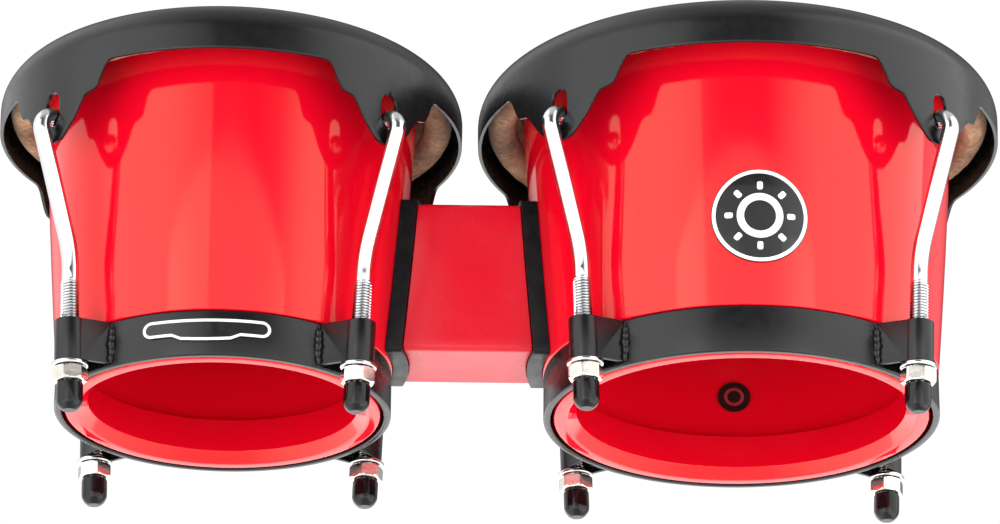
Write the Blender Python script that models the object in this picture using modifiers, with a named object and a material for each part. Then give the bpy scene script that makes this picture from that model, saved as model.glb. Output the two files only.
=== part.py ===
"""A pair of bongo drums: a small drum (macho) and a large drum (hembra) joined by a centre block.

Units are metres and +Z is up. The object stands on its eight rubber lug caps with the heads up. X runs
along the pair, with the macho at -X and the hembra at +X, and -Y is the player's far side with the badge.
"""

import math

import bmesh
import bpy
from mathutils import Matrix, Vector

MM = 0.001

# Driving dimensions of the pair, in millimetres.
AXIS_DISTANCE = 219.6
HEMBRA_EXTRA_RADIUS = 12.7
BAND_HEIGHT_ABOVE_FLOOR = 20.0
GAP = 0.3
INSIDE_GAP = 0.75  # to the inner wall of a shell, whose flats stand inside the true circle

# Macho radii and heights. Heights count from the lower edge of the bottom band.
RIM_RADIUS = 100.1
RIM_SHEET = 1.6
RIM_CROWN_ARC = 15.0
RIM_EQUATOR = 134.4
RIM_CROWN_START = 70.0  # degrees above the equator where the crown leaves the flat top
RIM_LIP_RADIUS = 83.6
RIM_LIP_BOTTOM = 142.6
RIM_LIP_TOP = 149.2
RIM_LIP_ROUND = 2.0
RIM_PLATEAU = 125.0
RIM_EAR_TIP = 94.5
RIM_EAR_PULL_IN = 1.5
# The rim's lower edge from the middle of an ear outward: degrees about the drum's axis, height.
RIM_EAR_EDGE = (
    (0.0, RIM_EAR_TIP),
    (3.0, 95.3),
    (7.0, 102.5),
    (10.4, 111.6),
    (14.0, 113.2),
    (17.0, 124.2),
    (18.6, RIM_PLATEAU),
)
RIM_PLATEAU_COLUMNS = (27.4, 36.2, 45.0)
SLOT_BOTTOM = 101.9
SLOT_TOP = 117.2
SLOT_WIDTH = 8.6

SHELL_TOP = 149.2
SHELL_WALL = 5.0
SHELL_BASE_RADIUS = 69.5
SHELL_TAPER = 0.0955
SHELL_EASE = 0.00013
SHELL_RECESS_RADIUS = 66.9
SHELL_LEDGE = 20.1
SHELL_SEAT_TOP = 20.4
SHELL_SEAT_RADIUS = 60.2
SHELL_LIP_RADIUS = 57.0
SHELL_LIP_HEIGHT = 4.8
SHELL_LIP_TURN = (58.6, 1.6)  # radius and height where the lip bends from its bottom into the mouth
SHELL_FOOT_RADIUS = 61.0
SHELL_FOOT = 0.2
SHELL_FOOT_ROUND = 1.6
SHELL_LEDGE_ROUND = 0.9
SHELL_INSIDE_HEIGHTS = (22.5, 80.0, 144.2)
SHELL_OUTSIDE_HEIGHTS = (105.0, 60.0)
BEARING_EDGE_ROUND = 2.0

HEAD_TOP = 150.8
HEAD_SKIN = 1.3
HEAD_COLLAR_BOTTOM = 141.0
HEAD_EDGE_ROUND = 2.2
HEAD_INNER_ROUND = 1.6
HOOP_RADIUS = 89.6
HOOP_HEIGHT = 136.2
HOOP_ROD = 4.2
TUCK_OUTER = 6.0
TUCK_SKIN = 1.4
TUCK_START = 76.0  # degrees above the outward direction; the seam lies between the start and the end
TUCK_END = -256.0

BAND_RADIUS = 71.16
BAND_SHEET = 3.0
BAND_HEIGHT = 19.7
BAND_TOP_ROUND = 0.7
BAND_BOTTOM_ROUND = 0.9
BAND_INNER_ROUND = 0.6

# Lug stations, four on each drum. A lug's shank leans outward with the taper of the shell.
LUG_RADIUS = 83.8
LUG_LEAN = 0.05
LUG_BEND_HEIGHT = 48.5
LUG_UPPER_SLOPE = 0.363
LUG_HOOK_START = 98.4
LUG_HOOK_ARC = 6.0
LUG_HOOK_LEG = 2.0
LUG_SHANK = 3.6
LUG_THREAD = 3.95
LUG_THREAD_TOP = 36.0
LUG_THREAD_RUNOUT = 0.8
LUG_BEND_HALF = 5.0
LUG_BEND_EASE = 0.35
LUG_BOTTOM = -14.2
LOOP_INNER = 4.7
LOOP_SHEET = 1.7
LOOP_BOTTOM = 0.9
LOOP_HEIGHT = 18.0
LOOP_SPLAY = 9.4
LOOP_WRAP = 100.0  # degrees each way from outward that the strap follows the lug
LOOP_TOE = 0.6
LOOP_SINK = 1.2
WELD_RADIUS = 1.7
WELD_BOTTOM = 1.8
WELD_TOP = 18.2
WELD_BESIDE_LEG = 0.8
WASHER_RADIUS = 7.6
WASHER_BORE = 4.7
WASHER_THICKNESS = 1.8
WASHER_ROUND = 0.6
NUT_FLATS = 13.0
NUT_HEIGHT = 6.3
NUT_BORE = 4.6
CAP_RADIUS = 5.5
CAP_DOME_CENTRE = -15.2
CAP_TOP = -8.1
CAP_BORE = 4.35
CAP_TOP_ROUND = 0.6

# Centre block and what fastens it.
BLOCK_DEPTH = 41.0
BLOCK_BOTTOM = 23.4
BLOCK_TOP = 90.5
BLOCK_EDGE = 2.5
GASKET_THICKNESS = 6.5
GASKET_PROUD = 1.5
GASKET_EDGE = 1.4
BOLT_HEIGHTS = (42.0, 72.0)
BOLT_SHAFT = 4.0
BOLT_HOLE = 4.35
BOLT_REACH = 21.0
BOLT_HEAD_FLATS = 13.0
BOLT_HEAD_HEIGHT = 5.3
BOLT_TIP_ROOM = 2.0
PLATE_DEPTH = 26.0
PLATE_MARGIN = 11.0
PLATE_SHEET = 2.5

# Badge, inner label and band label: thin discs and plates that follow the wall behind them.
BADGE_RADIUS = 20.0
BADGE_HEIGHT = 57.8
BADGE_AZIMUTH = -88.3
BADGE_STEPS = 32
TRIM_SHEET = 0.7
INNER_LABEL_RADIUS = 7.2
INNER_LABEL_HEIGHT = 41.5
INNER_LABEL_AZIMUTH = 88.0
INNER_LABEL_STEPS = 16
BAND_LABEL_WIDTH = 53.0
BAND_LABEL_HEIGHT = 7.4
BAND_LABEL_BULGE = 2.2
BAND_LABEL_BULGE_FLAT = 0.42  # share of the straight edge that the bulge's bottom takes up
BAND_LABEL_BULGE_FOOT = 0.62
BAND_LABEL_CENTRE = 11.9
BAND_LABEL_AZIMUTH = -93.4

# How finely round pieces are turned.
WALL_STEPS = 40
RING_STEPS = 32
SMALL_STEPS = 10
ARC_STEPS = 6
CUTTER_STEPS = 72
SMOOTH_ANGLE = 35.0

# Cutters: how far they run past the material that they cut.
OVERRUN = 2.0
WALL_CUTTER_TOP = 140.0
PATCH_DEPTH = 40.0
PATCH_START = -25.0  # from the wall, towards the drum's axis
SLOT_CUTTER_DEPTH = 24.0
SLOT_CUTTER_START = -14.0
BOLT_CUTTER_START = -16.0

PAIR_LENGTH = AXIS_DISTANCE + 2 * RIM_RADIUS + HEMBRA_EXTRA_RADIUS
MACHO_X = -PAIR_LENGTH / 2 + RIM_RADIUS

# name, axis position, extra radius and turn of the lug stations about the drum's axis in degrees
DRUMS = (
    ("macho", MACHO_X, 0.0, -1.0),
    ("hembra", MACHO_X + AXIS_DISTANCE, HEMBRA_EXTRA_RADIUS, -0.2),
)
STATIONS = (
    ("front_left", -135.0),
    ("front_right", -45.0),
    ("back_right", 45.0),
    ("back_left", 135.0),
)


def clear_scene():
    for obj in list(bpy.data.objects):
        bpy.data.objects.remove(obj, do_unlink=True)


def collection(name):
    made = bpy.data.collections.new(name)
    bpy.context.scene.collection.children.link(made)
    return made


def material(name, colour, roughness, metallic=0.0):
    made = bpy.data.materials.new(name)
    made.use_nodes = True
    shader = made.node_tree.nodes["Principled BSDF"]
    shader.inputs["Base Color"].default_value = (*colour, 1.0)
    shader.inputs["Roughness"].default_value = roughness
    shader.inputs["Metallic"].default_value = metallic
    return made


def link(obj, group, look=None):
    group.objects.link(obj)
    if look:
        obj.data.materials.append(look)
    return obj


def mesh_object(name, bm, group, look=None, smooth=True):
    """The finished bmesh as an object whose mesh units are already metres."""
    bmesh.ops.recalc_face_normals(bm, faces=bm.faces)
    mesh = bpy.data.meshes.new(name)
    bm.to_mesh(mesh)
    bm.free()
    if smooth:
        mesh.shade_smooth()
        mesh.set_sharp_from_angle(angle=math.radians(SMOOTH_ANGLE))
    return link(bpy.data.objects.new(name, mesh), group, look)


def turned(name, outline, steps, group, look=None, is_closed=True):
    """A profile of (radius, height) in millimetres, turned about Z. It runs down its outer side."""
    mesh = bpy.data.meshes.new(name)
    last = len(outline)
    edges = [(i, i + 1) for i in range(last - 1)]
    if is_closed:
        edges.append((last - 1, 0))
    mesh.from_pydata([(r * MM, 0.0, z * MM) for r, z in outline], edges, [])
    obj = link(bpy.data.objects.new(name, mesh), group, look)
    screw = obj.modifiers.new("Turn", "SCREW")
    screw.axis = "Z"
    screw.steps = steps
    screw.render_steps = steps
    screw.use_merge_vertices = True
    screw.merge_threshold = 0.00001
    screw.use_smooth_shade = True
    return obj


def prism(name, outline, depth, group, look=None):
    """A flat outline in X and Y, in millimetres, raised from Z = 0 to depth."""
    bm = bmesh.new()
    face = bm.faces.new([bm.verts.new((x * MM, y * MM, 0.0)) for x, y in outline])
    raised = bmesh.ops.extrude_face_region(bm, geom=[face])
    moved = [item for item in raised["geom"] if isinstance(item, bmesh.types.BMVert)]
    bmesh.ops.translate(bm, verts=moved, vec=(0.0, 0.0, depth * MM))
    return mesh_object(name, bm, group, look, smooth=False)


def box(name, low, high, group, look=None):
    bm = bmesh.new()
    bmesh.ops.create_cube(bm, size=1.0)
    size = [(b - a) * MM for a, b in zip(low, high)]
    centre = [(a + b) / 2 * MM for a, b in zip(low, high)]
    bmesh.ops.scale(bm, verts=bm.verts, vec=size)
    bmesh.ops.translate(bm, verts=bm.verts, vec=centre)
    return mesh_object(name, bm, group, look, smooth=False)


def cylinder(name, radius, start, end, steps, group):
    """A plain cylinder along its own Z from start to end, in millimetres."""
    bm = bmesh.new()
    bmesh.ops.create_cone(
        bm, cap_ends=True, segments=steps, radius1=radius * MM, radius2=radius * MM, depth=(end - start) * MM
    )
    bmesh.ops.translate(bm, verts=bm.verts, vec=(0.0, 0.0, (start + end) / 2 * MM))
    return mesh_object(name, bm, group)


def helper(obj):
    obj.hide_render = True
    obj.display_type = "WIRE"
    return obj


def boolean(obj, other, operation):
    step = obj.modifiers.new(operation.title(), "BOOLEAN")
    step.operation = operation
    step.solver = "EXACT"
    step.object = helper(other)


def rounded(obj, width, segments=1, angle=50.0):
    bevel = obj.modifiers.new("Edges", "BEVEL")
    bevel.width = width * MM
    bevel.segments = segments
    bevel.limit_method = "ANGLE"
    bevel.angle_limit = math.radians(angle)


def at_floor_height(height):
    return (BAND_HEIGHT_ABOVE_FLOOR + height) * MM


def on_drum(obj, drum):
    """Stands a piece that was modelled about a drum's axis on that drum."""
    obj.location = (drum[1] * MM, 0.0, at_floor_height(0.0))
    return obj


def station_matrix(drum, azimuth, is_leaning=True):
    """Origin on a lug's shank at the band's lower edge, X outward, and Z along the shank if it leans."""
    angle = math.radians(azimuth + drum[3])
    reach = (LUG_RADIUS + drum[2]) * MM
    foot = Vector((drum[1] * MM + reach * math.cos(angle), reach * math.sin(angle), at_floor_height(0.0)))
    lean = math.atan(LUG_LEAN) if is_leaning else 0.0
    return Matrix.Translation(foot) @ Matrix.Rotation(angle, 4, "Z") @ Matrix.Rotation(lean, 4, "Y")


def wall_matrix(drum, azimuth, height):
    """Origin on a drum's axis at a height, with Z pointing outward along the azimuth and Y up."""
    turn = Matrix.Rotation(math.radians(azimuth) + math.pi / 2, 4, "Z") @ Matrix.Rotation(math.pi / 2, 4, "X")
    return Matrix.Translation((drum[1] * MM, 0.0, at_floor_height(height))) @ turn


def arc(centre, radius, start, end, steps):
    """Points on an arc from start to end, in degrees."""
    angles = [math.radians(start + (end - start) * i / steps) for i in range(steps + 1)]
    return [(centre[0] + radius * math.cos(a), centre[1] + radius * math.sin(a)) for a in angles]


def shell_outside(extra, height):
    return SHELL_BASE_RADIUS + extra + SHELL_TAPER * height - SHELL_EASE * height**2


def wall_solid(name, extra, offset, group):
    """A solid of revolution whose side is the shell's outside moved outward by offset."""
    top = WALL_CUTTER_TOP
    side = [(shell_outside(extra, h) + offset, h) for h in (top, top * 2 / 3, top / 3, 0.0)]
    return turned(name, [(0.0, top), *side, (0.0, 0.0)], CUTTER_STEPS, group, is_closed=False)


# Shell, with its head, flesh hoop and rim


def shell_outline(extra):
    """Inside going up, then outside going down to the recess of the band and round the lower lip."""
    inside = [(SHELL_LIP_RADIUS + extra, SHELL_LIP_HEIGHT), (SHELL_SEAT_RADIUS + extra, SHELL_SEAT_TOP)]
    inside += [(shell_outside(extra, h) - SHELL_WALL, h) for h in SHELL_INSIDE_HEIGHTS]
    edge = BEARING_EDGE_ROUND
    bearing_edge = arc((shell_outside(extra, SHELL_TOP) - edge, SHELL_TOP - edge), edge, 110.0, 0.0, 2)
    ledge_round = SHELL_LEDGE + SHELL_LEDGE_ROUND
    outside = [(shell_outside(extra, h), h) for h in (*SHELL_OUTSIDE_HEIGHTS, ledge_round)]
    recess = SHELL_RECESS_RADIUS + extra
    ledge = [
        (shell_outside(extra, SHELL_LEDGE) - SHELL_LEDGE_ROUND, SHELL_LEDGE),
        (recess, SHELL_LEDGE),
        (recess, SHELL_FOOT + SHELL_FOOT_ROUND),
    ]
    turn_radius, turn_height = SHELL_LIP_TURN
    lip = [
        (recess - SHELL_FOOT_ROUND, SHELL_FOOT),
        (SHELL_FOOT_RADIUS + extra, SHELL_FOOT),
        (turn_radius + extra, turn_height),
    ]
    return inside + bearing_edge + outside + ledge + lip


def make_shell(drum, parts, cutters, look):
    name, _, extra, _ = drum
    shell = on_drum(turned(f"{name}_shell", shell_outline(extra), WALL_STEPS, parts, look), drum)
    for hole in block_bolt_holes(drum, cutters, "shell"):
        boolean(shell, hole, "DIFFERENCE")
    return shell


def make_head(drum, parts, look):
    name, _, extra, _ = drum
    inner = shell_outside(extra, SHELL_TOP) + GAP
    outer = inner + HEAD_SKIN
    under = HEAD_TOP - HEAD_SKIN
    edge = HEAD_EDGE_ROUND
    outline = [
        (0.0, HEAD_TOP),
        *arc((outer - edge, HEAD_TOP - edge), edge, 90.0, 0.0, 2),
        (outer, HEAD_COLLAR_BOTTOM),
        (inner, HEAD_COLLAR_BOTTOM),
        (inner, under - HEAD_INNER_ROUND),
        (inner - HEAD_INNER_ROUND, under),
        (0.0, under),
    ]
    return on_drum(turned(f"{name}_head", outline, WALL_STEPS, parts, look, is_closed=False), drum)


def make_flesh_hoop(drum, parts, look):
    name, x, extra, _ = drum
    bpy.ops.mesh.primitive_torus_add(
        major_radius=(HOOP_RADIUS + extra) * MM,
        minor_radius=HOOP_ROD * MM,
        major_segments=RING_STEPS,
        minor_segments=6,
        location=(x * MM, 0.0, at_floor_height(HOOP_HEIGHT)),
    )
    hoop = bpy.context.active_object
    for group in list(hoop.users_collection):
        group.objects.unlink(hoop)
    hoop.name = f"{name}_flesh_hoop"
    hoop.data.shade_smooth()
    return link(hoop, parts, look)


def make_skin_tuck(drum, parts, look):
    """The rolled edge of the skin round the flesh hoop, open in a narrow seam at the top."""
    name, _, extra, _ = drum
    centre = (HOOP_RADIUS + extra, HOOP_HEIGHT)
    outer = arc(centre, TUCK_OUTER, TUCK_START, TUCK_END, 7)
    inner = arc(centre, TUCK_OUTER - TUCK_SKIN, TUCK_END, TUCK_START, 7)
    return on_drum(turned(f"{name}_skin_tuck", outer + inner, RING_STEPS, parts, look), drum)


def ear_edge(offset):
    """Height of the rim's lower edge at an angle from the middle of an ear, in degrees."""
    for (a, low), (b, high) in zip(RIM_EAR_EDGE, RIM_EAR_EDGE[1:]):
        if offset <= b:
            return low + (high - low) * (offset - a) / (b - a)
    return RIM_PLATEAU


def rim_azimuths():
    """Columns of the rim's sheet: close together over each ear, wider over the plateaus between."""
    offsets = [offset for offset, _ in RIM_EAR_EDGE] + list(RIM_PLATEAU_COLUMNS)
    quarter = [-o for o in reversed(offsets[1:-1])] + offsets
    return [(azimuth, abs(o)) for azimuth, o in ((90.0 * q + 45.0 + o, o) for q in range(4) for o in quarter)]


def rim_column(extra, edge):
    """One column of the rim's upper face: inner lip, crown, then down the skirt to the edge."""
    radius = RIM_RADIUS + extra
    lip = RIM_LIP_RADIUS + extra
    column = [(lip, RIM_LIP_BOTTOM), (lip, RIM_LIP_TOP - RIM_LIP_ROUND)]
    column.append((lip + RIM_LIP_ROUND, RIM_LIP_TOP))
    column += arc((radius - RIM_CROWN_ARC, RIM_EQUATOR), RIM_CROWN_ARC, RIM_CROWN_START, 0.0, 3)
    drop = max(0.0, RIM_PLATEAU - edge) / (RIM_PLATEAU - RIM_EAR_TIP)
    column.append((radius - RIM_EAR_PULL_IN * drop, edge))
    return column


def slot_outline():
    """The lug slot in an ear: straight sides with round ends."""
    half = SLOT_WIDTH / 2
    low = (0.0, SLOT_BOTTOM + half)
    high = (0.0, SLOT_TOP - half)
    return arc(high, half, 0.0, 180.0, ARC_STEPS) + arc(low, half, 180.0, 360.0, ARC_STEPS)


def make_rim(drum, parts, cutters, look):
    name, _, extra, turn = drum
    bm = bmesh.new()
    columns = []
    for azimuth, offset in rim_azimuths():
        angle = math.radians(azimuth + turn)
        profile = rim_column(extra, ear_edge(offset))
        out = (MM * math.cos(angle), MM * math.sin(angle))
        columns.append([bm.verts.new((r * out[0], r * out[1], z * MM)) for r, z in profile])
    for here, there in zip(columns, columns[1:] + columns[:1]):
        for a in range(len(here) - 1):
            bm.faces.new((here[a], here[a + 1], there[a + 1], there[a]))
    rim = on_drum(mesh_object(f"{name}_rim", bm, parts, look), drum)
    sheet = rim.modifiers.new("Sheet", "SOLIDIFY")
    sheet.thickness = RIM_SHEET * MM
    sheet.offset = -1.0
    sheet.use_even_offset = True
    for station, azimuth in STATIONS:
        cutter = prism(f"{name}_slot_{station}", slot_outline(), SLOT_CUTTER_DEPTH, cutters)
        reach = Matrix.Translation((0.0, 0.0, (RIM_RADIUS + extra + SLOT_CUTTER_START) * MM))
        cutter.matrix_world = wall_matrix(drum, azimuth + turn, 0.0) @ reach
        boolean(rim, cutter, "DIFFERENCE")
    return rim


# Bottom band with its lug brackets, and the tension hardware


def loop_outline(extra):
    """A bracket in plan: a strap round the lug whose legs spread to the band. X is outward."""
    band = BAND_RADIUS + extra
    foot = math.sqrt(band**2 - LOOP_SPLAY**2) - LOOP_SINK - LUG_RADIUS - extra
    outer = [(foot, -LOOP_SPLAY - LOOP_TOE)]
    outer += arc((0.0, 0.0), LOOP_INNER + LOOP_SHEET, -LOOP_WRAP, LOOP_WRAP, ARC_STEPS)
    outer.append((foot, LOOP_SPLAY + LOOP_TOE))
    inner = [(foot, LOOP_SPLAY - LOOP_SHEET)]
    inner += arc((0.0, 0.0), LOOP_INNER, LOOP_WRAP, -LOOP_WRAP, ARC_STEPS)
    inner.append((foot, LOOP_SHEET - LOOP_SPLAY))
    return outer + inner


def make_band(drum, parts, cutters, look):
    name, _, extra, _ = drum
    outer = BAND_RADIUS + extra
    inner = outer - BAND_SHEET
    outline = [
        (inner, BAND_INNER_ROUND),
        (inner, BAND_HEIGHT),
        (outer - BAND_TOP_ROUND, BAND_HEIGHT),
        (outer, BAND_HEIGHT - BAND_TOP_ROUND),
        (outer, BAND_BOTTOM_ROUND),
        (outer - BAND_BOTTOM_ROUND, 0.0),
        (inner + BAND_INNER_ROUND, 0.0),
    ]
    band = on_drum(turned(f"{name}_bottom_band", outline, WALL_STEPS, parts, look), drum)
    for station, azimuth in STATIONS:
        loop = prism(f"{name}_loop_{station}", loop_outline(extra), LOOP_HEIGHT, cutters)
        place = station_matrix(drum, azimuth)
        loop.matrix_world = place @ Matrix.Translation((0.0, 0.0, LOOP_BOTTOM * MM))
        boolean(band, loop, "UNION")
        for side in (-1, 1):
            bead_name = f"{name}_weld_{station}_{side + 1}"
            bead = cylinder(bead_name, WELD_RADIUS, WELD_BOTTOM, WELD_TOP, ARC_STEPS, cutters)
            shift = math.asin((LOOP_SPLAY + WELD_BESIDE_LEG) / outer) * side
            bead.matrix_world = (
                Matrix.Translation((drum[1] * MM, 0.0, at_floor_height(0.0)))
                @ Matrix.Rotation(math.radians(azimuth + drum[3]) + shift, 4, "Z")
                @ Matrix.Translation((outer * MM, 0.0, 0.0))
            )
            boolean(band, bead, "UNION")
    return band


def lug_route():
    """The lug's centre line as (reach from the shank's foot, height, thickness), bottom to hook end."""
    runout = LUG_THREAD_TOP + LUG_THREAD_RUNOUT
    below = LUG_BEND_HEIGHT - LUG_BEND_HALF
    above = LUG_BEND_HEIGHT + LUG_BEND_HALF
    knee = LUG_LEAN * LUG_BEND_HEIGHT
    route = [(LUG_LEAN * h, h, LUG_THREAD) for h in (LUG_BOTTOM, LUG_THREAD_TOP)]
    route += [(LUG_LEAN * h, h, LUG_SHANK) for h in (runout, below)]
    route.append((knee + LUG_BEND_EASE, LUG_BEND_HEIGHT, LUG_SHANK))
    route.append((knee + LUG_UPPER_SLOPE * LUG_BEND_HALF, above, LUG_SHANK))
    reach = knee + LUG_UPPER_SLOPE * (LUG_HOOK_START - LUG_BEND_HEIGHT)
    tilt = math.degrees(math.atan(LUG_UPPER_SLOPE))
    centre = (
        reach - LUG_HOOK_ARC * math.cos(math.radians(tilt)),
        LUG_HOOK_START + LUG_HOOK_ARC * math.sin(math.radians(tilt)),
    )
    hook = arc(centre, LUG_HOOK_ARC, -tilt, 180.0, 7)
    route += [(x, z, LUG_SHANK) for x, z in hook]
    route.append((hook[-1][0], hook[-1][1] - LUG_HOOK_LEG, LUG_SHANK))
    return route


def make_lug(drum, station, azimuth, parts, look):
    name = f"{drum[0]}_lug_{station}"
    curve = bpy.data.curves.new(name, "CURVE")
    curve.dimensions = "3D"
    curve.bevel_depth = LUG_SHANK * MM
    curve.bevel_resolution = 2
    curve.use_fill_caps = True
    route = lug_route()
    spline = curve.splines.new("POLY")
    spline.points.add(len(route) - 1)
    for point, (reach, height, radius) in zip(spline.points, route):
        point.co = (reach * MM, 0.0, height * MM, 1.0)
        point.radius = radius / LUG_SHANK
    lug = link(bpy.data.objects.new(name, curve), parts, look)
    lug.matrix_world = station_matrix(drum, azimuth, is_leaning=False)
    return lug


def make_washer(drum, station, azimuth, parts, look):
    top = LOOP_BOTTOM - GAP
    bottom = top - WASHER_THICKNESS
    outline = [
        (WASHER_BORE, bottom),
        (WASHER_BORE, top),
        (WASHER_RADIUS - WASHER_ROUND, top),
        (WASHER_RADIUS, top - WASHER_ROUND),
        (WASHER_RADIUS, bottom),
    ]
    washer = turned(f"{drum[0]}_washer_{station}", outline, SMALL_STEPS, parts, look)
    washer.matrix_world = station_matrix(drum, azimuth)
    return washer


def nut_top():
    return LOOP_BOTTOM - WASHER_THICKNESS - 2 * GAP


def make_nut(drum, station, azimuth, parts, cutters, look):
    """A hexagon with a clearance bore, its origin on the lug's axis, which it turns about."""
    name = f"{drum[0]}_nut_{station}"
    top = nut_top()
    nut = cylinder(name, NUT_FLATS / math.sqrt(3), top - NUT_HEIGHT, top, 6, cutters)
    cutters.objects.unlink(nut)
    link(nut, parts, look)
    nut.matrix_world = station_matrix(drum, azimuth)
    bore = cylinder(f"{name}_bore", NUT_BORE, top - NUT_HEIGHT - OVERRUN, top + OVERRUN, SMALL_STEPS, cutters)
    bore.matrix_world = nut.matrix_world
    boolean(nut, bore, "DIFFERENCE")
    return nut


def make_cap(drum, station, azimuth, parts, floor, look):
    """A rubber cap on the lug's end. Its dome is flattened where the drums stand on it."""
    bottom = LUG_BOTTOM - GAP
    dome = arc((0.0, CAP_DOME_CENTRE), CAP_RADIUS, 0.0, -90.0, 3)
    outline = [(0.0, bottom), (CAP_BORE, bottom), (CAP_BORE, CAP_TOP), (CAP_RADIUS - CAP_TOP_ROUND, CAP_TOP)]
    outline += [(CAP_RADIUS, CAP_TOP - CAP_TOP_ROUND), *dome[:-1], (0.0, CAP_DOME_CENTRE - CAP_RADIUS)]
    cap = turned(f"{drum[0]}_cap_{station}", outline, SMALL_STEPS, parts, look, is_closed=False)
    cap.matrix_world = station_matrix(drum, azimuth)
    boolean(cap, floor, "DIFFERENCE")
    return cap


# Centre block, gaskets, bolts and backing plates


def facing(drum):
    """The azimuth from a drum towards the block, in degrees."""
    return 0.0 if drum[0] == "macho" else 180.0


def block_bolt_holes(drum, cutters, owner):
    """Cutters along both block bolts, from inside the shell into the block."""
    name, _, extra, _ = drum
    holes = []
    for index, height in enumerate(BOLT_HEIGHTS):
        outside = shell_outside(extra, height)
        start = outside + BOLT_CUTTER_START
        hole = cylinder(
            f"{name}_{owner}_bore_{index}", BOLT_HOLE, start, outside + BOLT_REACH, SMALL_STEPS, cutters
        )
        hole.matrix_world = wall_matrix(drum, facing(drum), height)
        holes.append(hole)
    return holes


def make_block(parts, cutters, look):
    half = BLOCK_DEPTH / 2
    low = (MACHO_X, -half, BAND_HEIGHT_ABOVE_FLOOR + BLOCK_BOTTOM)
    high = (MACHO_X + AXIS_DISTANCE, half, BAND_HEIGHT_ABOVE_FLOOR + BLOCK_TOP)
    block = box("centre_block", low, high, parts, look)
    rounded(block, BLOCK_EDGE, segments=2)
    for drum in DRUMS:
        name, _, extra, _ = drum
        scoop = wall_solid(f"{name}_block_scoop", extra, GASKET_THICKNESS + 2 * GAP, cutters)
        boolean(block, on_drum(scoop, drum), "DIFFERENCE")
        for hole in block_bolt_holes(drum, cutters, "block"):
            boolean(block, hole, "DIFFERENCE")
    return block


def wall_patch(name, drum, azimuth, height, outline, inner, outer, parts, cutters, look):
    """A plate of the given outline, bent to the wall, between two distances from the shell's outside."""
    extra = drum[2]
    plate = prism(name, outline, PATCH_DEPTH, parts, look)
    start = shell_outside(extra, height) + PATCH_START
    plate.matrix_world = wall_matrix(drum, azimuth, height) @ Matrix.Translation((0.0, 0.0, start * MM))
    boolean(plate, on_drum(wall_solid(f"{name}_face", extra, outer, cutters), drum), "INTERSECT")
    boolean(plate, on_drum(wall_solid(f"{name}_back", extra, inner, cutters), drum), "DIFFERENCE")
    return plate


def rectangle(width, bottom, top):
    half = width / 2
    return [(-half, bottom), (half, bottom), (half, top), (-half, top)]


def make_gasket(drum, parts, cutters, look):
    name = f"{drum[0]}_gasket"
    middle = (BLOCK_BOTTOM + BLOCK_TOP) / 2
    half = (BLOCK_TOP - BLOCK_BOTTOM) / 2 + GASKET_PROUD
    outline = rectangle(BLOCK_DEPTH + 2 * GASKET_PROUD, -half, half)
    gasket = wall_patch(
        name, drum, facing(drum), middle, outline, GAP, GAP + GASKET_THICKNESS, parts, cutters, look
    )
    for hole in block_bolt_holes(drum, cutters, "gasket"):
        boolean(gasket, hole, "DIFFERENCE")
    return gasket


def make_backing_plate(drum, parts, cutters, look):
    """A curved steel plate inside the shell that spreads the pull of both block bolts."""
    low, high = BOLT_HEIGHTS
    middle = (low + high) / 2
    half = (high - low) / 2 + PLATE_MARGIN
    face = -(SHELL_WALL + INSIDE_GAP)
    plate = wall_patch(
        f"{drum[0]}_backing_plate",
        drum,
        facing(drum),
        middle,
        rectangle(PLATE_DEPTH, -half, half),
        face - PLATE_SHEET,
        face,
        parts,
        cutters,
        look,
    )
    for hole in block_bolt_holes(drum, cutters, "plate"):
        boolean(plate, hole, "DIFFERENCE")
    return plate


def make_block_bolt(drum, label, height, parts, cutters, look):
    """A hexagon-headed bolt through the plate, the shell and the gasket into the block."""
    name = f"{drum[0]}_block_bolt_{label}"
    outside = shell_outside(drum[2], height)
    taper = SHELL_TAPER * BOLT_HEAD_FLATS / 2
    seat = outside - SHELL_WALL - INSIDE_GAP - PLATE_SHEET - GAP - taper
    tip = outside + BOLT_REACH - BOLT_TIP_ROOM
    bolt = cylinder(name, BOLT_SHAFT, seat - BOLT_HEAD_HEIGHT / 2, tip, SMALL_STEPS, cutters)
    cutters.objects.unlink(bolt)
    link(bolt, parts, look)
    bolt.matrix_world = wall_matrix(drum, facing(drum), height)
    head = cylinder(f"{name}_head", BOLT_HEAD_FLATS / math.sqrt(3), seat - BOLT_HEAD_HEIGHT, seat, 6, cutters)
    head.matrix_world = bolt.matrix_world
    boolean(bolt, head, "UNION")
    return bolt


# Badge and labels


def circle(radius, steps):
    return arc((0.0, 0.0), radius, 0.0, 360.0, steps)[:-1]


def band_label_outline():
    """A long plaque with round ends and a bulge along the middle of its lower edge."""
    half = BAND_LABEL_HEIGHT / 2
    reach = BAND_LABEL_WIDTH / 2 - half
    flat = BAND_LABEL_BULGE_FLAT * reach
    foot = BAND_LABEL_BULGE_FOOT * reach
    low = -half - BAND_LABEL_BULGE
    shoulders = [(-foot, -half), (-flat, low), (flat, low), (foot, -half)]
    right = arc((reach, 0.0), half, -90.0, 90.0, 4)
    left = arc((-reach, 0.0), half, 90.0, 270.0, 4)
    return shoulders + right + left


def make_band_label(drum, parts, cutters, look):
    wall = BAND_RADIUS + drum[2]
    label = prism("macho_band_label", band_label_outline(), PATCH_DEPTH, parts, look)
    start = Matrix.Translation((0.0, 0.0, (wall + PATCH_START) * MM))
    label.matrix_world = wall_matrix(drum, BAND_LABEL_AZIMUTH, BAND_LABEL_CENTRE) @ start
    for offset, operation in ((GAP + TRIM_SHEET, "INTERSECT"), (GAP, "DIFFERENCE")):
        name = f"macho_band_label_{operation.lower()}"
        side = cylinder(name, wall + offset, -OVERRUN, BAND_HEIGHT + OVERRUN, CUTTER_STEPS, cutters)
        boolean(label, on_drum(side, drum), operation)
    return label


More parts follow.
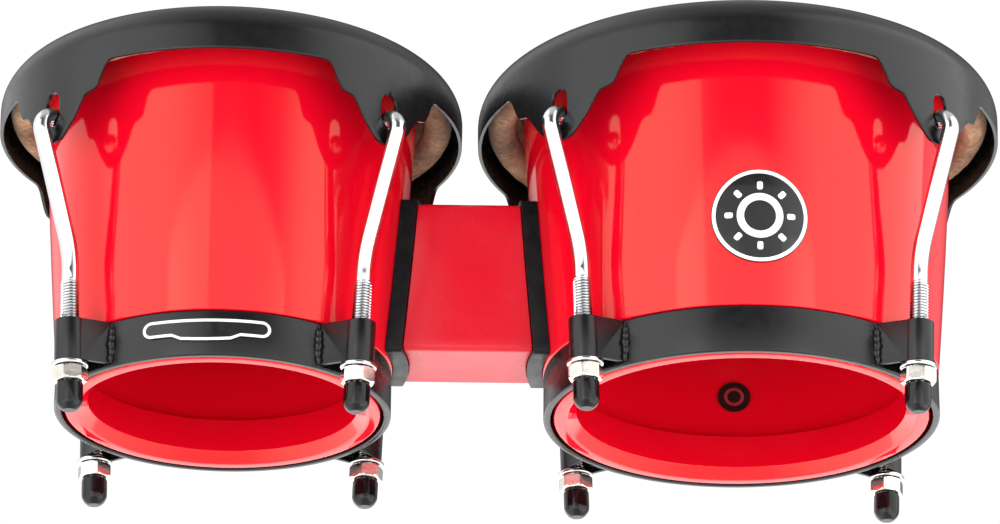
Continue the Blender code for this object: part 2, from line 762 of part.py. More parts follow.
def make_trim(parts, cutters, look):
    macho, hembra = DRUMS
    disc = circle(BADGE_RADIUS, BADGE_STEPS)
    front = (GAP, GAP + TRIM_SHEET)
    wall_patch("hembra_badge", hembra, BADGE_AZIMUTH, BADGE_HEIGHT, disc, *front, parts, cutters, look)
    disc = circle(INNER_LABEL_RADIUS, INNER_LABEL_STEPS)
    face = -(SHELL_WALL + INSIDE_GAP)
    inside = (face - TRIM_SHEET, face)
    place = (INNER_LABEL_AZIMUTH, INNER_LABEL_HEIGHT)
    wall_patch("hembra_inner_label", hembra, *place, disc, *inside, parts, cutters, look)
    make_band_label(macho, parts, cutters, look)


def main():
    clear_scene()
    parts = collection("bongo_drums")
    cutters = collection("cutters")
    red = material("red_abs", (0.62, 0.003, 0.012), 0.12)
    block_red = material("block_red", (0.55, 0.006, 0.012), 0.35)
    black_steel = material("black_powder_coat", (0.016, 0.017, 0.018), 0.38)
    chrome = material("chrome", (0.78, 0.79, 0.80), 0.08, 1.0)
    nickel = material("nickel", (0.66, 0.62, 0.56), 0.25, 1.0)
    zinc = material("zinc_steel", (0.50, 0.50, 0.50), 0.4, 1.0)
    rubber = material("black_rubber", (0.02, 0.021, 0.022), 0.55)
    skin = material("buffalo_skin", (0.52, 0.36, 0.22), 0.7)
    trim = material("label_black", (0.01, 0.01, 0.01), 0.3)

    floor_low = (-PAIR_LENGTH, -PAIR_LENGTH, 2 * LUG_BOTTOM)
    floor = box("floor_cutter", floor_low, (PAIR_LENGTH, PAIR_LENGTH, 0.0), cutters)
    for drum in DRUMS:
        make_shell(drum, parts, cutters, red)
        make_head(drum, parts, skin)
        make_flesh_hoop(drum, parts, zinc)
        make_skin_tuck(drum, parts, skin)
        make_rim(drum, parts, cutters, black_steel)
        make_band(drum, parts, cutters, black_steel)
        for station, azimuth in STATIONS:
            make_lug(drum, station, azimuth, parts, chrome)
            make_washer(drum, station, azimuth, parts, chrome)
            make_nut(drum, station, azimuth, parts, cutters, nickel)
            make_cap(drum, station, azimuth, parts, floor, rubber)
        gasket = make_gasket(drum, parts, cutters, rubber)
        rounded(gasket, GASKET_EDGE)
        make_backing_plate(drum, parts, cutters, zinc)
        for label, height in zip(("lower", "upper"), BOLT_HEIGHTS):
            make_block_bolt(drum, label, height, parts, cutters, zinc)
    make_block(parts, cutters, block_red)
    make_trim(parts, cutters, trim)


main()
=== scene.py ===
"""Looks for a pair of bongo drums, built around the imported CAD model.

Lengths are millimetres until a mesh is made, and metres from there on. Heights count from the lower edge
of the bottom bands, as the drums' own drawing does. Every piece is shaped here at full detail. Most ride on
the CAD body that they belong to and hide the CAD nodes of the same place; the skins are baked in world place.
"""

import math
from collections import namedtuple

import bmesh
import bpy
from mathutils import Matrix, Vector, noise


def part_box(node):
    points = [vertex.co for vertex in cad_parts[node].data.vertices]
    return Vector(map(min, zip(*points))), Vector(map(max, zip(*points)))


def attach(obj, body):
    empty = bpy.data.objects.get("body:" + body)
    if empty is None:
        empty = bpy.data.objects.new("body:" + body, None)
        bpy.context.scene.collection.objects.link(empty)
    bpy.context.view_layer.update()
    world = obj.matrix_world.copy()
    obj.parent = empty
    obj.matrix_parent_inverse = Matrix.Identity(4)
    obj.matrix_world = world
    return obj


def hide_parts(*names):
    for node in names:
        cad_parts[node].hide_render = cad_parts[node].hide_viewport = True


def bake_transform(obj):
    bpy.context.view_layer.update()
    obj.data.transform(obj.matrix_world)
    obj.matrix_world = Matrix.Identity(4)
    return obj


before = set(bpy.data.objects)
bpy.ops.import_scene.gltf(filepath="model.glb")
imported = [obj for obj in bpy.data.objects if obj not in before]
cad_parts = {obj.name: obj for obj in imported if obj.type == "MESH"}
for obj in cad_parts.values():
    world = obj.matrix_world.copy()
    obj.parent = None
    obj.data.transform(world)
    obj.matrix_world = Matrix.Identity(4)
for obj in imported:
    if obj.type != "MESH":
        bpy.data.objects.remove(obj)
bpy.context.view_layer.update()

MM = 0.001

# Where the drums stand, from the CAD frame.
FOOT = 0.2  # the shell's foot over the band's lower edge
BAND_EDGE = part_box("macho_shell")[0].z / MM - FOOT
MACHO_X = sum(corner.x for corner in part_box("macho_shell")) / 2 / MM
HEMBRA_X = sum(corner.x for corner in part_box("hembra_shell")) / 2 / MM
EXTRA = (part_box("hembra_head")[1].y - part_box("macho_head")[1].y) / MM
FRAME_BODY = "frame"

# A drum's axis, its radius over the macho's, and in degrees its lug stations' turn and the block's azimuth
Drum = namedtuple("Drum", "name x extra turn facing")
MACHO = Drum("macho", MACHO_X, 0.0, -1.0, 0.0)
HEMBRA = Drum("hembra", HEMBRA_X, EXTRA, -0.2, 180.0)
DRUMS = (MACHO, HEMBRA)
STATIONS = {"front_left": -135.0, "front_right": -45.0, "back_right": 45.0, "back_left": 135.0}

# Shell: its outer radius at the band's lower edge, and how it grows with height and height squared
SHELL_RADIUS = 69.5
SHELL_TAPER = 0.0955
SHELL_EASE = -0.00013
SHELL_TOP = 149.2
SHELL_WALL = 5.0
SHELL_LEDGE = 20.1
SHELL_RECESS = 66.9
BEARING_EDGE = 2.0

# Rim
RIM_RADIUS = 100.1
RIM_SHEET = 1.6
RIM_CROWN = 15.0
RIM_CURL = 2.0
RIM_CURL_HEIGHT = 147.2
RIM_EQUATOR = 134.4
RIM_LIP = 83.6
RIM_LIP_BOTTOM = 142.6
RIM_PLATEAU = 125.0
RIM_EAR_TIP = 94.5
RIM_PULL_IN = 1.5
RIM_EAR_EDGE = (  # degrees from the middle of an ear, and the lower edge's height there
    (0.0, RIM_EAR_TIP),
    (3.0, 95.3),
    (7.0, 102.5),
    (10.4, 111.6),
    (14.0, 113.2),
    (17.0, 124.2),
    (18.6, RIM_PLATEAU),
)
RIM_EAR_ROUNDING = 0.7  # degrees
RIM_COLUMNS = 480
SLOT_BOTTOM = 101.9
SLOT_TOP = 117.2
SLOT_WIDTH = 8.6

# Skin
HEAD_TOP = 150.8
SKIN = 1.3
HOOP_RADIUS = 89.6
HOOP_HEIGHT = 136.2
HOOP_ROD = 4.2
TUCK_OUTER = 6.0
ROLL_TOP = 142.0

# Bottom band and its brackets
BAND_RADIUS = 71.16
BAND_SHEET = 3.0
BAND_HEIGHT = 19.7
LOOP_INNER = 4.7
LOOP_SHEET = 1.7
LOOP_BOTTOM = 0.9
LOOP_HEIGHT = 18.0
LOOP_SPLAY = 9.4
WELD_RADIUS = 1.9
WELD_ENDS = (1.4, 18.6)
WELD_RIPPLE = 3.1
WELD_RIPPLE_SHARE = 0.14
WELD_WANDER = 0.55

# Lugs and what sits on them
LUG_RADIUS = 83.8
LUG_LEAN = 0.05
LUG_BEND = 48.5
LUG_BEND_REACH = 8.0
LUG_SLOPE = 0.363
LUG_HOOK_START = 98.4
LUG_HOOK_ARC = 6.0
LUG_HOOK_END = 152.0
LUG_SHANK = 3.6
THREAD_RADIUS = 3.95
THREAD_DEPTH = 0.72
THREAD_PITCH = 1.25
THREAD_TOP = 36.0
THREAD_END = THREAD_TOP + 1.0
ROOT_SHADE_START = 3.22  # painted shade in the thread's roots is darkest up to this radius
ROOT_SHADE_END = 3.52
LUG_BOTTOM = -14.2
GAP = 0.3
WASHER_RADIUS = 7.6
WASHER_BORE = 4.7
WASHER_THICKNESS = 1.8
NUT_FLATS = 13.0
NUT_HEIGHT = 6.3
NUT_BORE = 4.6
CAP_RADIUS = 5.5
CAP_DOME = -15.2
CAP_TOP = -8.1
CAP_BORE = 4.35

# Block, gaskets, plates, bolts
BLOCK_DEPTH = 41.0
BLOCK_BOTTOM = 23.4
BLOCK_TOP = 90.5
BLOCK_EDGE = 2.5
GASKET = 6.5
GASKET_PROUD = 1.5
GASKET_EDGE = 1.4
BOLT_HEIGHTS = {"lower": 42.0, "upper": 72.0}
BOLT_SHAFT = 4.0
BOLT_BORE = 4.35
BOLT_REACH = 19.0
BOLT_FLATS = 13.0
BOLT_HEAD = 5.3
INSIDE_GAP = 0.75
PLATE_DEPTH = 26.0
PLATE_MARGIN = 11.0
PLATE_SHEET = 2.5
PUNCH_DEPTH = 25.0
PUNCH_LENGTH = 40.0

# Badge and labels
BADGE_RADIUS = 20.0
BADGE_HEIGHT = 57.8
BADGE_AZIMUTH = -88.3
BADGE_BORDER = (18.2, 19.7)
BADGE_RING = (6.6, 9.6)
BADGE_MARKS = 8
INNER_LABEL_RADIUS = 7.2
INNER_LABEL_HEIGHT = 41.5
INNER_LABEL_AZIMUTH = 88.0
INNER_LABEL_RING = (3.0, 4.4)
BAND_LABEL_WIDTH = 53.0
BAND_LABEL_HEIGHT = 7.4
BAND_LABEL_BULGE = 2.2
BAND_LABEL_CENTRE = 11.9
BAND_LABEL_AZIMUTH = -93.4
BAND_LABEL_BORDER = (0.1, 1.3)
INK = 0.15

# Floor, in metres: half its width, its height, and where it starts and ends to fade into the white room
FLOOR_SIZE = 6.0
FLOOR_HEIGHT = -0.0005
FLOOR_FADE = (0.26, 0.50)

# Camera, in metres and degrees
CAMERA_AT = (-0.02361, -1.74325, -0.62803)
CAMERA_YAW, CAMERA_PITCH, CAMERA_ROLL = 0.80, 22.44, 0.44
CAMERA_LENS = 158.05

# Soft boxes: name, both ends in plan, bottom and top, radiance, and the part of its width where it fades in
BOX_HEIGHT = (-0.55, 0.75)
SOFT_BOXES = (
    ("left_box", (-0.250, -0.89), (-1.30, -0.05), BOX_HEIGHT, 0.95, (0.0, 0.38)),
    ("right_box", (0.190, -0.57), (0.90, 0.29), BOX_HEIGHT, 1.40, (0.0, 0.25)),
    ("front_wall", (-1.80, -2.20), (1.80, -2.20), (-1.40, 0.70), 1.25, (0.0, 0.08)),
    ("back_wall", (-1.80, 2.00), (1.80, 2.00), (-2.80, 0.30), 1.45, (0.0, 0.1)),
)

# Room: its dim light, and its glows as axis, where a glow starts and is full along it, and its strength
ROOM_SEEN = 1.05
ROOM_DIM = 0.12
ROOM_GLOW = (
    ("X", -0.15, -0.65, 1.10),
    ("X", 0.25, 0.75, 0.55),
    ("Z", 0.00, -0.70, 0.90),
    ("Z", 0.60, 0.95, 0.60),
)

# Steps round a turned piece, and the angle in degrees over which an edge is shaded sharp
TURNS = 240
SHARP = 32.0


# Meshes


def add(name, verts, faces, look, matrix=None):
    """A piece from millimetre vertices, shaded smooth except over its sharp edges."""
    mesh = bpy.data.meshes.new(name)
    mesh.from_pydata([Vector(v) * MM for v in verts], [], faces)
    obj = bpy.data.objects.new(name, mesh)
    bpy.context.scene.collection.objects.link(obj)
    if look:
        mesh.materials.append(look)
    if matrix is not None:
        obj.matrix_world = matrix
    face_outward(mesh)
    return obj


def face_outward(mesh):
    bm = bmesh.new()
    bm.from_mesh(mesh)
    bmesh.ops.recalc_face_normals(bm, faces=bm.faces)
    bm.to_mesh(mesh)
    bm.free()
    mesh.shade_smooth()
    mesh.set_sharp_from_angle(angle=math.radians(SHARP))


def grid_faces(rows, columns, wrap_rows, wrap_columns):
    faces = []
    for i in range(rows if wrap_rows else rows - 1):
        a, b = i * columns, (i + 1) % rows * columns
        for j in range(columns if wrap_columns else columns - 1):
            k = (j + 1) % columns
            faces.append((a + j, a + k, b + k, b + j))
    return faces


def revolve(name, outline, look, steps=TURNS, matrix=None, is_closed=True, warp=None):
    """An outline of (radius, height) turned about Z. An open outline starts and ends on the axis."""
    rim = outline if is_closed else outline[1:-1]
    verts = []
    for step in range(steps):
        a = 2 * math.pi * step / steps
        for r, z in rim:
            shift = warp(r, z, a) if warp else (0.0, 0.0)
            verts.append(((r + shift[0]) * math.cos(a), (r + shift[0]) * math.sin(a), z + shift[1]))
    faces = grid_faces(steps, len(rim), True, is_closed)
    if not is_closed:
        for end, at in ((0, outline[0]), (len(rim) - 1, outline[-1])):
            verts.append((0.0, 0.0, at[1]))
            pole = len(verts) - 1
            faces += [(pole, s * len(rim) + end, (s + 1) % steps * len(rim) + end) for s in range(steps)]
    return add(name, verts, faces, look, matrix)


def arc(centre, radius, start, end, steps):
    angles = [math.radians(start + (end - start) * i / steps) for i in range(steps + 1)]
    return [(centre[0] + radius * math.cos(a), centre[1] + radius * math.sin(a)) for a in angles]


def filleted(corners, steps=5, is_closed=True):
    """Corners of (x, y, radius) with each corner rounded to its radius."""
    out = []
    for i, (x, y, radius) in enumerate(corners):
        at_end = not is_closed and i in (0, len(corners) - 1)
        if radius == 0 or at_end:
            out.append((x, y))
            continue
        here = Vector((x, y))
        back = (Vector(corners[i - 1][:2]) - here).normalized()
        ahead = (Vector(corners[(i + 1) % len(corners)][:2]) - here).normalized()
        half = back.angle(ahead) / 2
        middle = here + (back + ahead).normalized() * radius / math.sin(half)
        start = here + back * radius / math.tan(half) - middle
        end = here + ahead * radius / math.tan(half) - middle
        for step in range(steps + 1):
            blend = start.slerp(end, step / steps)
            out.append(tuple(middle + blend.normalized() * radius))
    return out


def prism(name, outline, depth, look=None, matrix=None):
    """A flat outline raised from Z = 0 to depth."""
    n = len(outline)
    verts = [(x, y, z) for z in (0.0, depth) for x, y in outline]
    sides = [(i, (i + 1) % n, n + (i + 1) % n, n + i) for i in range(n)]
    return add(name, verts, [tuple(range(n)), tuple(range(n, 2 * n)), *sides], look, matrix)


def sweep(name, rows, look, sides=24, matrix=None, radius_at=None):
    """A round bar along rows of (x, z, radius) in its own XZ plane, with flat caps on its ends."""
    verts, count = [], len(rows)
    for i, (x, z, radius) in enumerate(rows):
        ahead, behind = rows[min(i + 1, count - 1)], rows[max(i - 1, 0)]
        along = Vector((ahead[0] - behind[0], ahead[1] - behind[1])).normalized()
        for side in range(sides):
            a = 2 * math.pi * side / sides
            r = radius_at(z, a, radius) if radius_at else radius
            across = r * math.cos(a)
            verts.append((x + along.y * across, r * math.sin(a), z - along.x * across))
    faces = grid_faces(count, sides, False, True)
    faces += [tuple(range(sides)), tuple(range((count - 1) * sides, count * sides))]
    return add(name, verts, faces, look, matrix)


def applied(obj):
    """The object with its modifiers turned into mesh."""
    made = bpy.data.meshes.new_from_object(obj.evaluated_get(bpy.context.evaluated_depsgraph_get()))
    obj.modifiers.clear()
    obj.data = made
    made.shade_smooth()
    made.set_sharp_from_angle(angle=math.radians(SHARP))
    return obj


def boolean(obj, others, operation):
    """Cuts or joins the others, which don't touch each other, and removes them."""
    cutter = others[0]
    if len(others) > 1:
        with bpy.context.temp_override(active_object=cutter, selected_editable_objects=others):
            bpy.ops.object.join()
    step = obj.modifiers.new(operation, "BOOLEAN")
    step.operation = operation
    step.solver = "EXACT"
    step.object = cutter
    bpy.context.view_layer.update()
    applied(obj)
    bpy.data.objects.remove(cutter, do_unlink=True)
    return obj


def eased(obj, width, segments=3, angle=40.0):
    """Rounds every edge that is sharper than the angle."""
    bevel = obj.modifiers.new("Edges", "BEVEL")
    bevel.width = width * MM
    bevel.segments = segments
    bevel.limit_method = "ANGLE"
    bevel.angle_limit = math.radians(angle)
    return applied(obj)


# Places


def on_axis(drum, height=0.0):
    return Matrix.Translation((drum.x * MM, 0.0, (BAND_EDGE + height) * MM))


def at_station(drum, azimuth, is_leaning=True):
    """Origin on a lug's shank at the band's lower edge, X outward, and Z along the shank if it leans."""
    angle = math.radians(azimuth + drum.turn)
    reach = Matrix.Translation(((LUG_RADIUS + drum.extra) * MM, 0.0, 0.0))
    lean = Matrix.Rotation(math.atan(LUG_LEAN) if is_leaning else 0.0, 4, "Y")
    return on_axis(drum) @ Matrix.Rotation(angle, 4, "Z") @ reach @ lean


def at_wall(drum, azimuth, height):
    """Origin on a drum's axis at a height, with Z pointing outward along the azimuth and Y up."""
    turn = Matrix.Rotation(math.radians(azimuth) + math.pi / 2, 4, "Z") @ Matrix.Rotation(math.pi / 2, 4, "X")
    return on_axis(drum, height) @ turn


def outside(extra, height):
    """The shell's outer radius at a height: a taper that eases off towards the top."""
    return SHELL_RADIUS + extra + SHELL_TAPER * height + SHELL_EASE * height**2


def place(obj, body, slot, *nodes):
    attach(obj, body)
    if nodes:
        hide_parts(*nodes)


# Materials


def map_range(nodes, start, end, low, high, kind="SMOOTHSTEP"):
    """A Map Range node that takes start to low and end to high."""
    step = nodes.new("ShaderNodeMapRange")
    step.interpolation_type = kind
    for socket, value in zip(("From Min", "From Max", "To Min", "To Max"), (start, end, low, high)):
        step.inputs[socket].default_value = value
    return step


class Look:
    """A procedural material: one Principled shader and the texture nodes that feed it."""

    def __init__(self, name, colour, roughness, metallic=0.0, **sockets):
        self.material = bpy.data.materials.new(name)
        self.material.use_nodes = True
        self.nodes = self.material.node_tree.nodes
        self.link = self.material.node_tree.links.new
        self.shader = self.nodes["Principled BSDF"]
        self.shader.inputs["Base Color"].default_value = (*colour, 1.0)
        self.shader.inputs["Roughness"].default_value = roughness
        self.shader.inputs["Metallic"].default_value = metallic
        for key, value in sockets.items():
            self.shader.inputs[key.replace("_", " ")].default_value = value
        self.place = self.nodes.new("ShaderNodeTexCoord").outputs["Object"]

    def noise(self, scale, detail=4.0, stretch=(1.0, 1.0, 1.0), roughness=0.55):
        stretched = self.nodes.new("ShaderNodeMapping")
        stretched.inputs["Scale"].default_value = stretch
        self.link(self.place, stretched.inputs["Vector"])
        texture = self.nodes.new("ShaderNodeTexNoise")
        texture.inputs["Scale"].default_value = scale
        texture.inputs["Detail"].default_value = detail
        texture.inputs["Roughness"].default_value = roughness
        self.link(stretched.outputs[0], texture.inputs["Vector"])
        return texture.outputs["Fac"]

    def cells(self, scale):
        texture = self.nodes.new("ShaderNodeTexVoronoi")
        texture.inputs["Scale"].default_value = scale
        self.link(self.place, texture.inputs["Vector"])
        return texture.outputs["Distance"]

    def ranged(self, source, low, high, start=0.3, end=0.7):
        step = map_range(self.nodes, start, end, low, high, "LINEAR")
        self.link(source, step.inputs["Value"])
        return step.outputs[0]

    def colours(self, source, *stops):
        """Base colour from a texture through stops of (position, colour)."""
        ramp = self.nodes.new("ShaderNodeValToRGB")
        elements = ramp.color_ramp.elements
        while len(elements) < len(stops):
            elements.new(0.5)
        for element, (position, colour) in zip(elements, stops):
            element.position = position
            element.color = (*colour, 1.0)
        self.link(source, ramp.inputs["Fac"])
        self.link(ramp.outputs["Color"], self.shader.inputs["Base Color"])
        return self

    def mixed(self, one, other, share):
        """Two textures laid over each other, the second with a share of the whole."""
        blend = self.nodes.new("ShaderNodeMix")
        blend.inputs["Factor"].default_value = share
        self.link(one, blend.inputs["A"])
        self.link(other, blend.inputs["B"])
        return blend.outputs["Result"]

    def off_axis(self, lean):
        """Distance in metres from an axis through the origin that leans towards X."""
        across = self.nodes.new("ShaderNodeVectorMath")
        across.operation = "DOT_PRODUCT"
        across.inputs[1].default_value = (1.0, 0.0, -lean)
        split = self.nodes.new("ShaderNodeSeparateXYZ")
        flat = self.nodes.new("ShaderNodeCombineXYZ")
        length = self.nodes.new("ShaderNodeVectorMath")
        length.operation = "LENGTH"
        self.link(self.place, across.inputs[0])
        self.link(self.place, split.inputs[0])
        self.link(across.outputs["Value"], flat.inputs["X"])
        self.link(split.outputs["Y"], flat.inputs["Y"])
        self.link(flat.outputs[0], length.inputs[0])
        return length.outputs["Value"]

    def dimmed(self, factor):
        """Multiplies the base colour by a factor."""
        scale = self.nodes.new("ShaderNodeVectorMath")
        scale.operation = "SCALE"
        self.link(self.shader.inputs["Base Color"].links[0].from_socket, scale.inputs[0])
        self.link(factor, scale.inputs["Scale"])
        self.link(scale.outputs[0], self.shader.inputs["Base Color"])
        return self

    def rough(self, source, low, high):
        self.link(self.ranged(source, low, high), self.shader.inputs["Roughness"])
        return self

    def bump(self, source, strength, depth):
        """Relief of a depth in millimetres. Each call lays its relief over the ones before it."""
        relief = self.nodes.new("ShaderNodeBump")
        relief.inputs["Strength"].default_value = strength
        relief.inputs["Distance"].default_value = depth * MM
        self.link(source, relief.inputs["Height"])
        before = self.shader.inputs["Normal"].links
        if before:
            self.link(before[0].from_socket, relief.inputs["Normal"])
        self.link(relief.outputs[0], self.shader.inputs["Normal"])
        return self


def red_abs():
    """Glossy moulded plastic: a faint flow pattern, a slight ripple and a few fine handling marks."""
    look = Look("red_abs", (0.77, 0.0018, 0.016), 0.08, IOR=1.5, Specular_Tint=(1.0, 0.97, 0.62, 1.0))
    look.colours(look.noise(9.0, 3.0), (0.3, (0.74, 0.0016, 0.015)), (0.7, (0.80, 0.0022, 0.018)))
    look.rough(look.noise(60.0, 6.0, (1.0, 1.0, 0.15)), 0.05, 0.11)
    return look.bump(look.noise(26.0, 2.0), 0.12, 0.05).material


def block_red():
    """The block's plastic, less polished than the shells."""
    look = Look("block_red", (0.71, 0.005, 0.022), 0.3, IOR=1.5, Specular_IOR_Level=0.42)
    look.colours(look.noise(14.0, 3.0), (0.3, (0.68, 0.005, 0.020)), (0.7, (0.74, 0.008, 0.025)))
    look.rough(look.noise(45.0, 5.0), 0.20, 0.30)
    look.bump(look.noise(900.0, 2.0), 0.08, 0.01)
    return look.bump(look.noise(14.0, 1.0), 0.03, 0.03).material


def powder_coat():
    """Black powder coat: a fine pebbled skin with slightly glossier high spots."""
    look = Look("black_steel", (0.004, 0.0042, 0.0048), 0.36, IOR=1.5, Specular_IOR_Level=0.42)
    look.colours(look.noise(30.0, 5.0), (0.3, (0.0030, 0.0032, 0.0037)), (0.7, (0.0055, 0.0058, 0.0065)))
    look.rough(look.noise(160.0, 5.0), 0.22, 0.31)
    look.bump(look.noise(1500.0, 2.0), 0.16, 0.03)
    return look.bump(look.noise(120.0, 3.0), 0.08, 0.05).material


def chrome():
    """Plated rod and washers, with painted shade darkening the roots of the lug's thread, nearest the axis.
    """
    look = Look("chrome", (0.72, 0.73, 0.74), 0.08, metallic=1.0)
    look.colours(look.noise(90.0, 4.0), (0.3, (0.68, 0.69, 0.705)), (0.7, (0.76, 0.768, 0.775)))
    # Painted shade: the base colour darkens towards the rod's axis, in the roots of the thread
    look.dimmed(look.ranged(look.off_axis(LUG_LEAN), 0.16, 1.0, ROOT_SHADE_START * MM, ROOT_SHADE_END * MM))
    look.rough(look.noise(300.0, 5.0, (1.0, 1.0, 0.08)), 0.05, 0.14)
    return look.bump(look.noise(160.0, 3.0, (1.0, 1.0, 0.2)), 0.05, 0.02).material


def nickel():
    """Warm plated steel with the fine rings that turning leaves."""
    look = Look("nickel", (0.80, 0.75, 0.69), 0.2, metallic=1.0)
    look.colours(look.noise(200.0, 4.0), (0.3, (0.74, 0.69, 0.63)), (0.7, (0.86, 0.82, 0.76)))
    look.rough(look.noise(500.0, 5.0, (0.2, 0.2, 1.0)), 0.10, 0.24)
    return look.bump(look.noise(900.0, 3.0, (0.15, 0.15, 1.0)), 0.15, 0.02).material


def zinc():
    look = Look("zinc_steel", (0.52, 0.52, 0.53), 0.4, metallic=1.0)
    look.colours(look.cells(350.0), (0.1, (0.46, 0.46, 0.47)), (0.8, (0.60, 0.60, 0.61)))
    look.rough(look.noise(220.0, 5.0), 0.30, 0.52)
    return look.bump(look.noise(700.0, 3.0), 0.15, 0.03).material


def rubber():
    """Moulded black rubber, bloomed a little grey where it has been handled."""
    look = Look("black_rubber", (0.006, 0.006, 0.007), 0.3, IOR=1.5, Specular_IOR_Level=0.2)
    look.colours(look.noise(110.0, 5.0), (0.35, (0.005, 0.005, 0.006)), (0.75, (0.011, 0.011, 0.012)))
    look.rough(look.noise(180.0, 5.0), 0.20, 0.36)
    return look.bump(look.noise(1100.0, 3.0), 0.15, 0.02).material


def cap_vinyl():
    """Dipped vinyl, glossier than the gaskets."""
    look = Look("black_vinyl", (0.004, 0.004, 0.005), 0.2, IOR=1.5, Specular_IOR_Level=0.34)
    look.colours(look.noise(150.0, 4.0), (0.35, (0.003, 0.003, 0.004)), (0.75, (0.006, 0.006, 0.007)))
    look.rough(look.noise(220.0, 4.0), 0.06, 0.13)
    return look.bump(look.noise(240.0, 3.0), 0.10, 0.03).material


def hide():
    """Raw buffalo hide: mottled tan with paler grains and a short nap of fibres."""
    look = Look("buffalo_skin", (0.34, 0.22, 0.13), 0.8, IOR=1.4)
    look.shader.inputs["Sheen Weight"].default_value = 0.15
    look.shader.inputs["Sheen Roughness"].default_value = 0.5
    look.colours(
        look.mixed(look.noise(430.0, 8.0, roughness=0.75), look.noise(34.0, 6.0, roughness=0.6), 0.5),
        (0.35, (0.055, 0.023, 0.008)),
        (0.46, (0.21, 0.118, 0.048)),
        (0.55, (0.35, 0.215, 0.100)),
        (0.66, (0.66, 0.50, 0.32)),
    )
    look.rough(look.noise(90.0, 6.0), 0.6, 0.9)
    look.bump(look.noise(1000.0, 6.0, roughness=0.8), 0.6, 0.22)
    return look.bump(look.cells(1700.0), 0.3, 0.08).material


def vinyl(name, colour, variation):
    """A printed film with a slight ripple."""
    look = Look(name, colour, 0.25, IOR=1.5)
    lighter = tuple(min(1.0, c + variation) for c in colour)
    look.colours(look.noise(60.0, 4.0), (0.3, colour), (0.7, lighter))
    look.rough(look.noise(200.0, 4.0), 0.16, 0.30)
    return look.bump(look.noise(300.0, 3.0), 0.08, 0.02).material


# Shell and skin


def shell_outline(extra):
    """The wall in section, closed: turned-in lip, inside, bearing edge, outside, ledge."""
    inside_at = [(outside(extra, h) - SHELL_WALL, h, 0.0) for h in range(30, 145, 6)]
    top = (outside(extra, SHELL_TOP), SHELL_TOP)
    down = [(outside(extra, h), h, 0.0) for h in range(144, 22, -6)]
    return filleted(
        [
            (57.0 + extra, 4.8, 0.5),
            (60.2 + extra, 20.4, 0.7),
            (outside(extra, 22.5) - SHELL_WALL, 21.6, 0.9),
            *inside_at,
            (outside(extra, 144.2) - SHELL_WALL, 144.2, 1.0),
            (top[0] - 3.2, top[1], 0.5),
            (top[0], top[1], BEARING_EDGE),
            *down,
            (outside(extra, SHELL_LEDGE), SHELL_LEDGE, 0.9),
            (SHELL_RECESS + extra, SHELL_LEDGE, 0.3),
            (SHELL_RECESS + extra, FOOT, 1.3),
            (61.5 + extra, FOOT, 2.5),
        ],
        steps=6,
    )


def make_shell(drum, look):
    name, extra = drum.name, drum.extra
    shell = revolve(f"{name}_shell_body", shell_outline(extra), look, 320, on_axis(drum))
    holes = []
    for label, height in BOLT_HEIGHTS.items():
        bore = [(0.0, 40.0), (BOLT_BORE, 40.0), (BOLT_BORE, 100.0), (0.0, 100.0)]
        matrix = at_wall(drum, drum.facing, height)
        holes.append(revolve(f"hole_{label}", bore, None, 32, matrix, is_closed=False))
    boolean(shell, holes, "DIFFERENCE")
    place(shell, FRAME_BODY, "red_abs", f"{name}_shell")


def skin_path(extra):
    """The middle of the hide in section: flat head, over the bearing edge, down, and round the flesh hoop."""
    half = SKIN / 2
    wall = outside(extra, SHELL_TOP) + GAP + half
    flat = HEAD_TOP - half
    path = [(wall * i / 24, flat) for i in range(23)]
    path += arc((wall - 2.0, flat - 2.0), 2.0, 90.0, 0.0, 6)
    path += [(wall, ROLL_TOP + 4.0), (wall, ROLL_TOP + 2.0), (wall + 0.1, ROLL_TOP)]
    centre = (HOOP_RADIUS + extra, HOOP_HEIGHT)
    path += arc(centre, TUCK_OUTER - half, 152.0, 430.0, 40)
    return path


def ribbon(path, half):
    """Both sides of a path, as one outline that starts and ends at the path's first point's radius."""
    left, right = [], []
    for i, (x, y) in enumerate(path):
        a, b = path[max(i - 1, 0)], path[min(i + 1, len(path) - 1)]
        along = Vector((b[0] - a[0], b[1] - a[1])).normalized()
        left.append((x - along.y * half, y + along.x * half))
        right.append((x + along.y * half, y - along.x * half))
    return left + right[::-1]


def nap(r, z, a):
    """Lumps and puckers in the hide where it is rolled round the hoop, and a slight waviness on the head."""
    rolled = min(1.0, max(0.0, (ROLL_TOP - z) / 4.0))
    at = Vector((r * math.cos(a), r * math.sin(a), z))
    pucker = noise.noise(at * 0.16) * 0.35
    fuzz = noise.noise(at * 0.9) * 0.22
    wave = noise.noise(at * 0.05) * 0.12
    return (0.0, rolled * (pucker + fuzz) + (1 - rolled) * wave)


def make_skin(drum, look):
    """One hide, baked in world place: its head over the shell and its edge rolled round the flesh hoop."""
    name, extra = drum.name, drum.extra
    outline = ribbon(skin_path(extra), SKIN / 2)
    outline[0] = (0.0, outline[0][1])
    outline[-1] = (0.0, outline[-1][1])
    skin = revolve(f"{name}_skin", outline, look, 360, on_axis(drum), is_closed=False, warp=nap)
    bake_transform(skin)
    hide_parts(f"{name}_head", f"{name}_skin_tuck")


def make_hoop(drum, look):
    name, extra = drum.name, drum.extra
    section = arc((HOOP_RADIUS + extra, HOOP_HEIGHT), HOOP_ROD, 0.0, 360.0, 24)[:-1]
    hoop = revolve(f"{name}_flesh_hoop_rod", section, look, TURNS, on_axis(drum))
    place(hoop, f"{name}_tension_set", "zinc_steel", f"{name}_flesh_hoop")


# Rim


def ear_edge(offset):
    """Height of the rim's lower edge at an angle from the middle of an ear, with its corners rounded."""
    heights = []
    for step in range(-4, 5):
        at = abs(offset + RIM_EAR_ROUNDING * step / 4)
        height = RIM_PLATEAU
        for (a, low), (b, high) in zip(RIM_EAR_EDGE, RIM_EAR_EDGE[1:]):
            if a <= at <= b:
                height = low + (high - low) * (at - a) / (b - a)
        heights.append(height)
    return sum(heights) / len(heights)


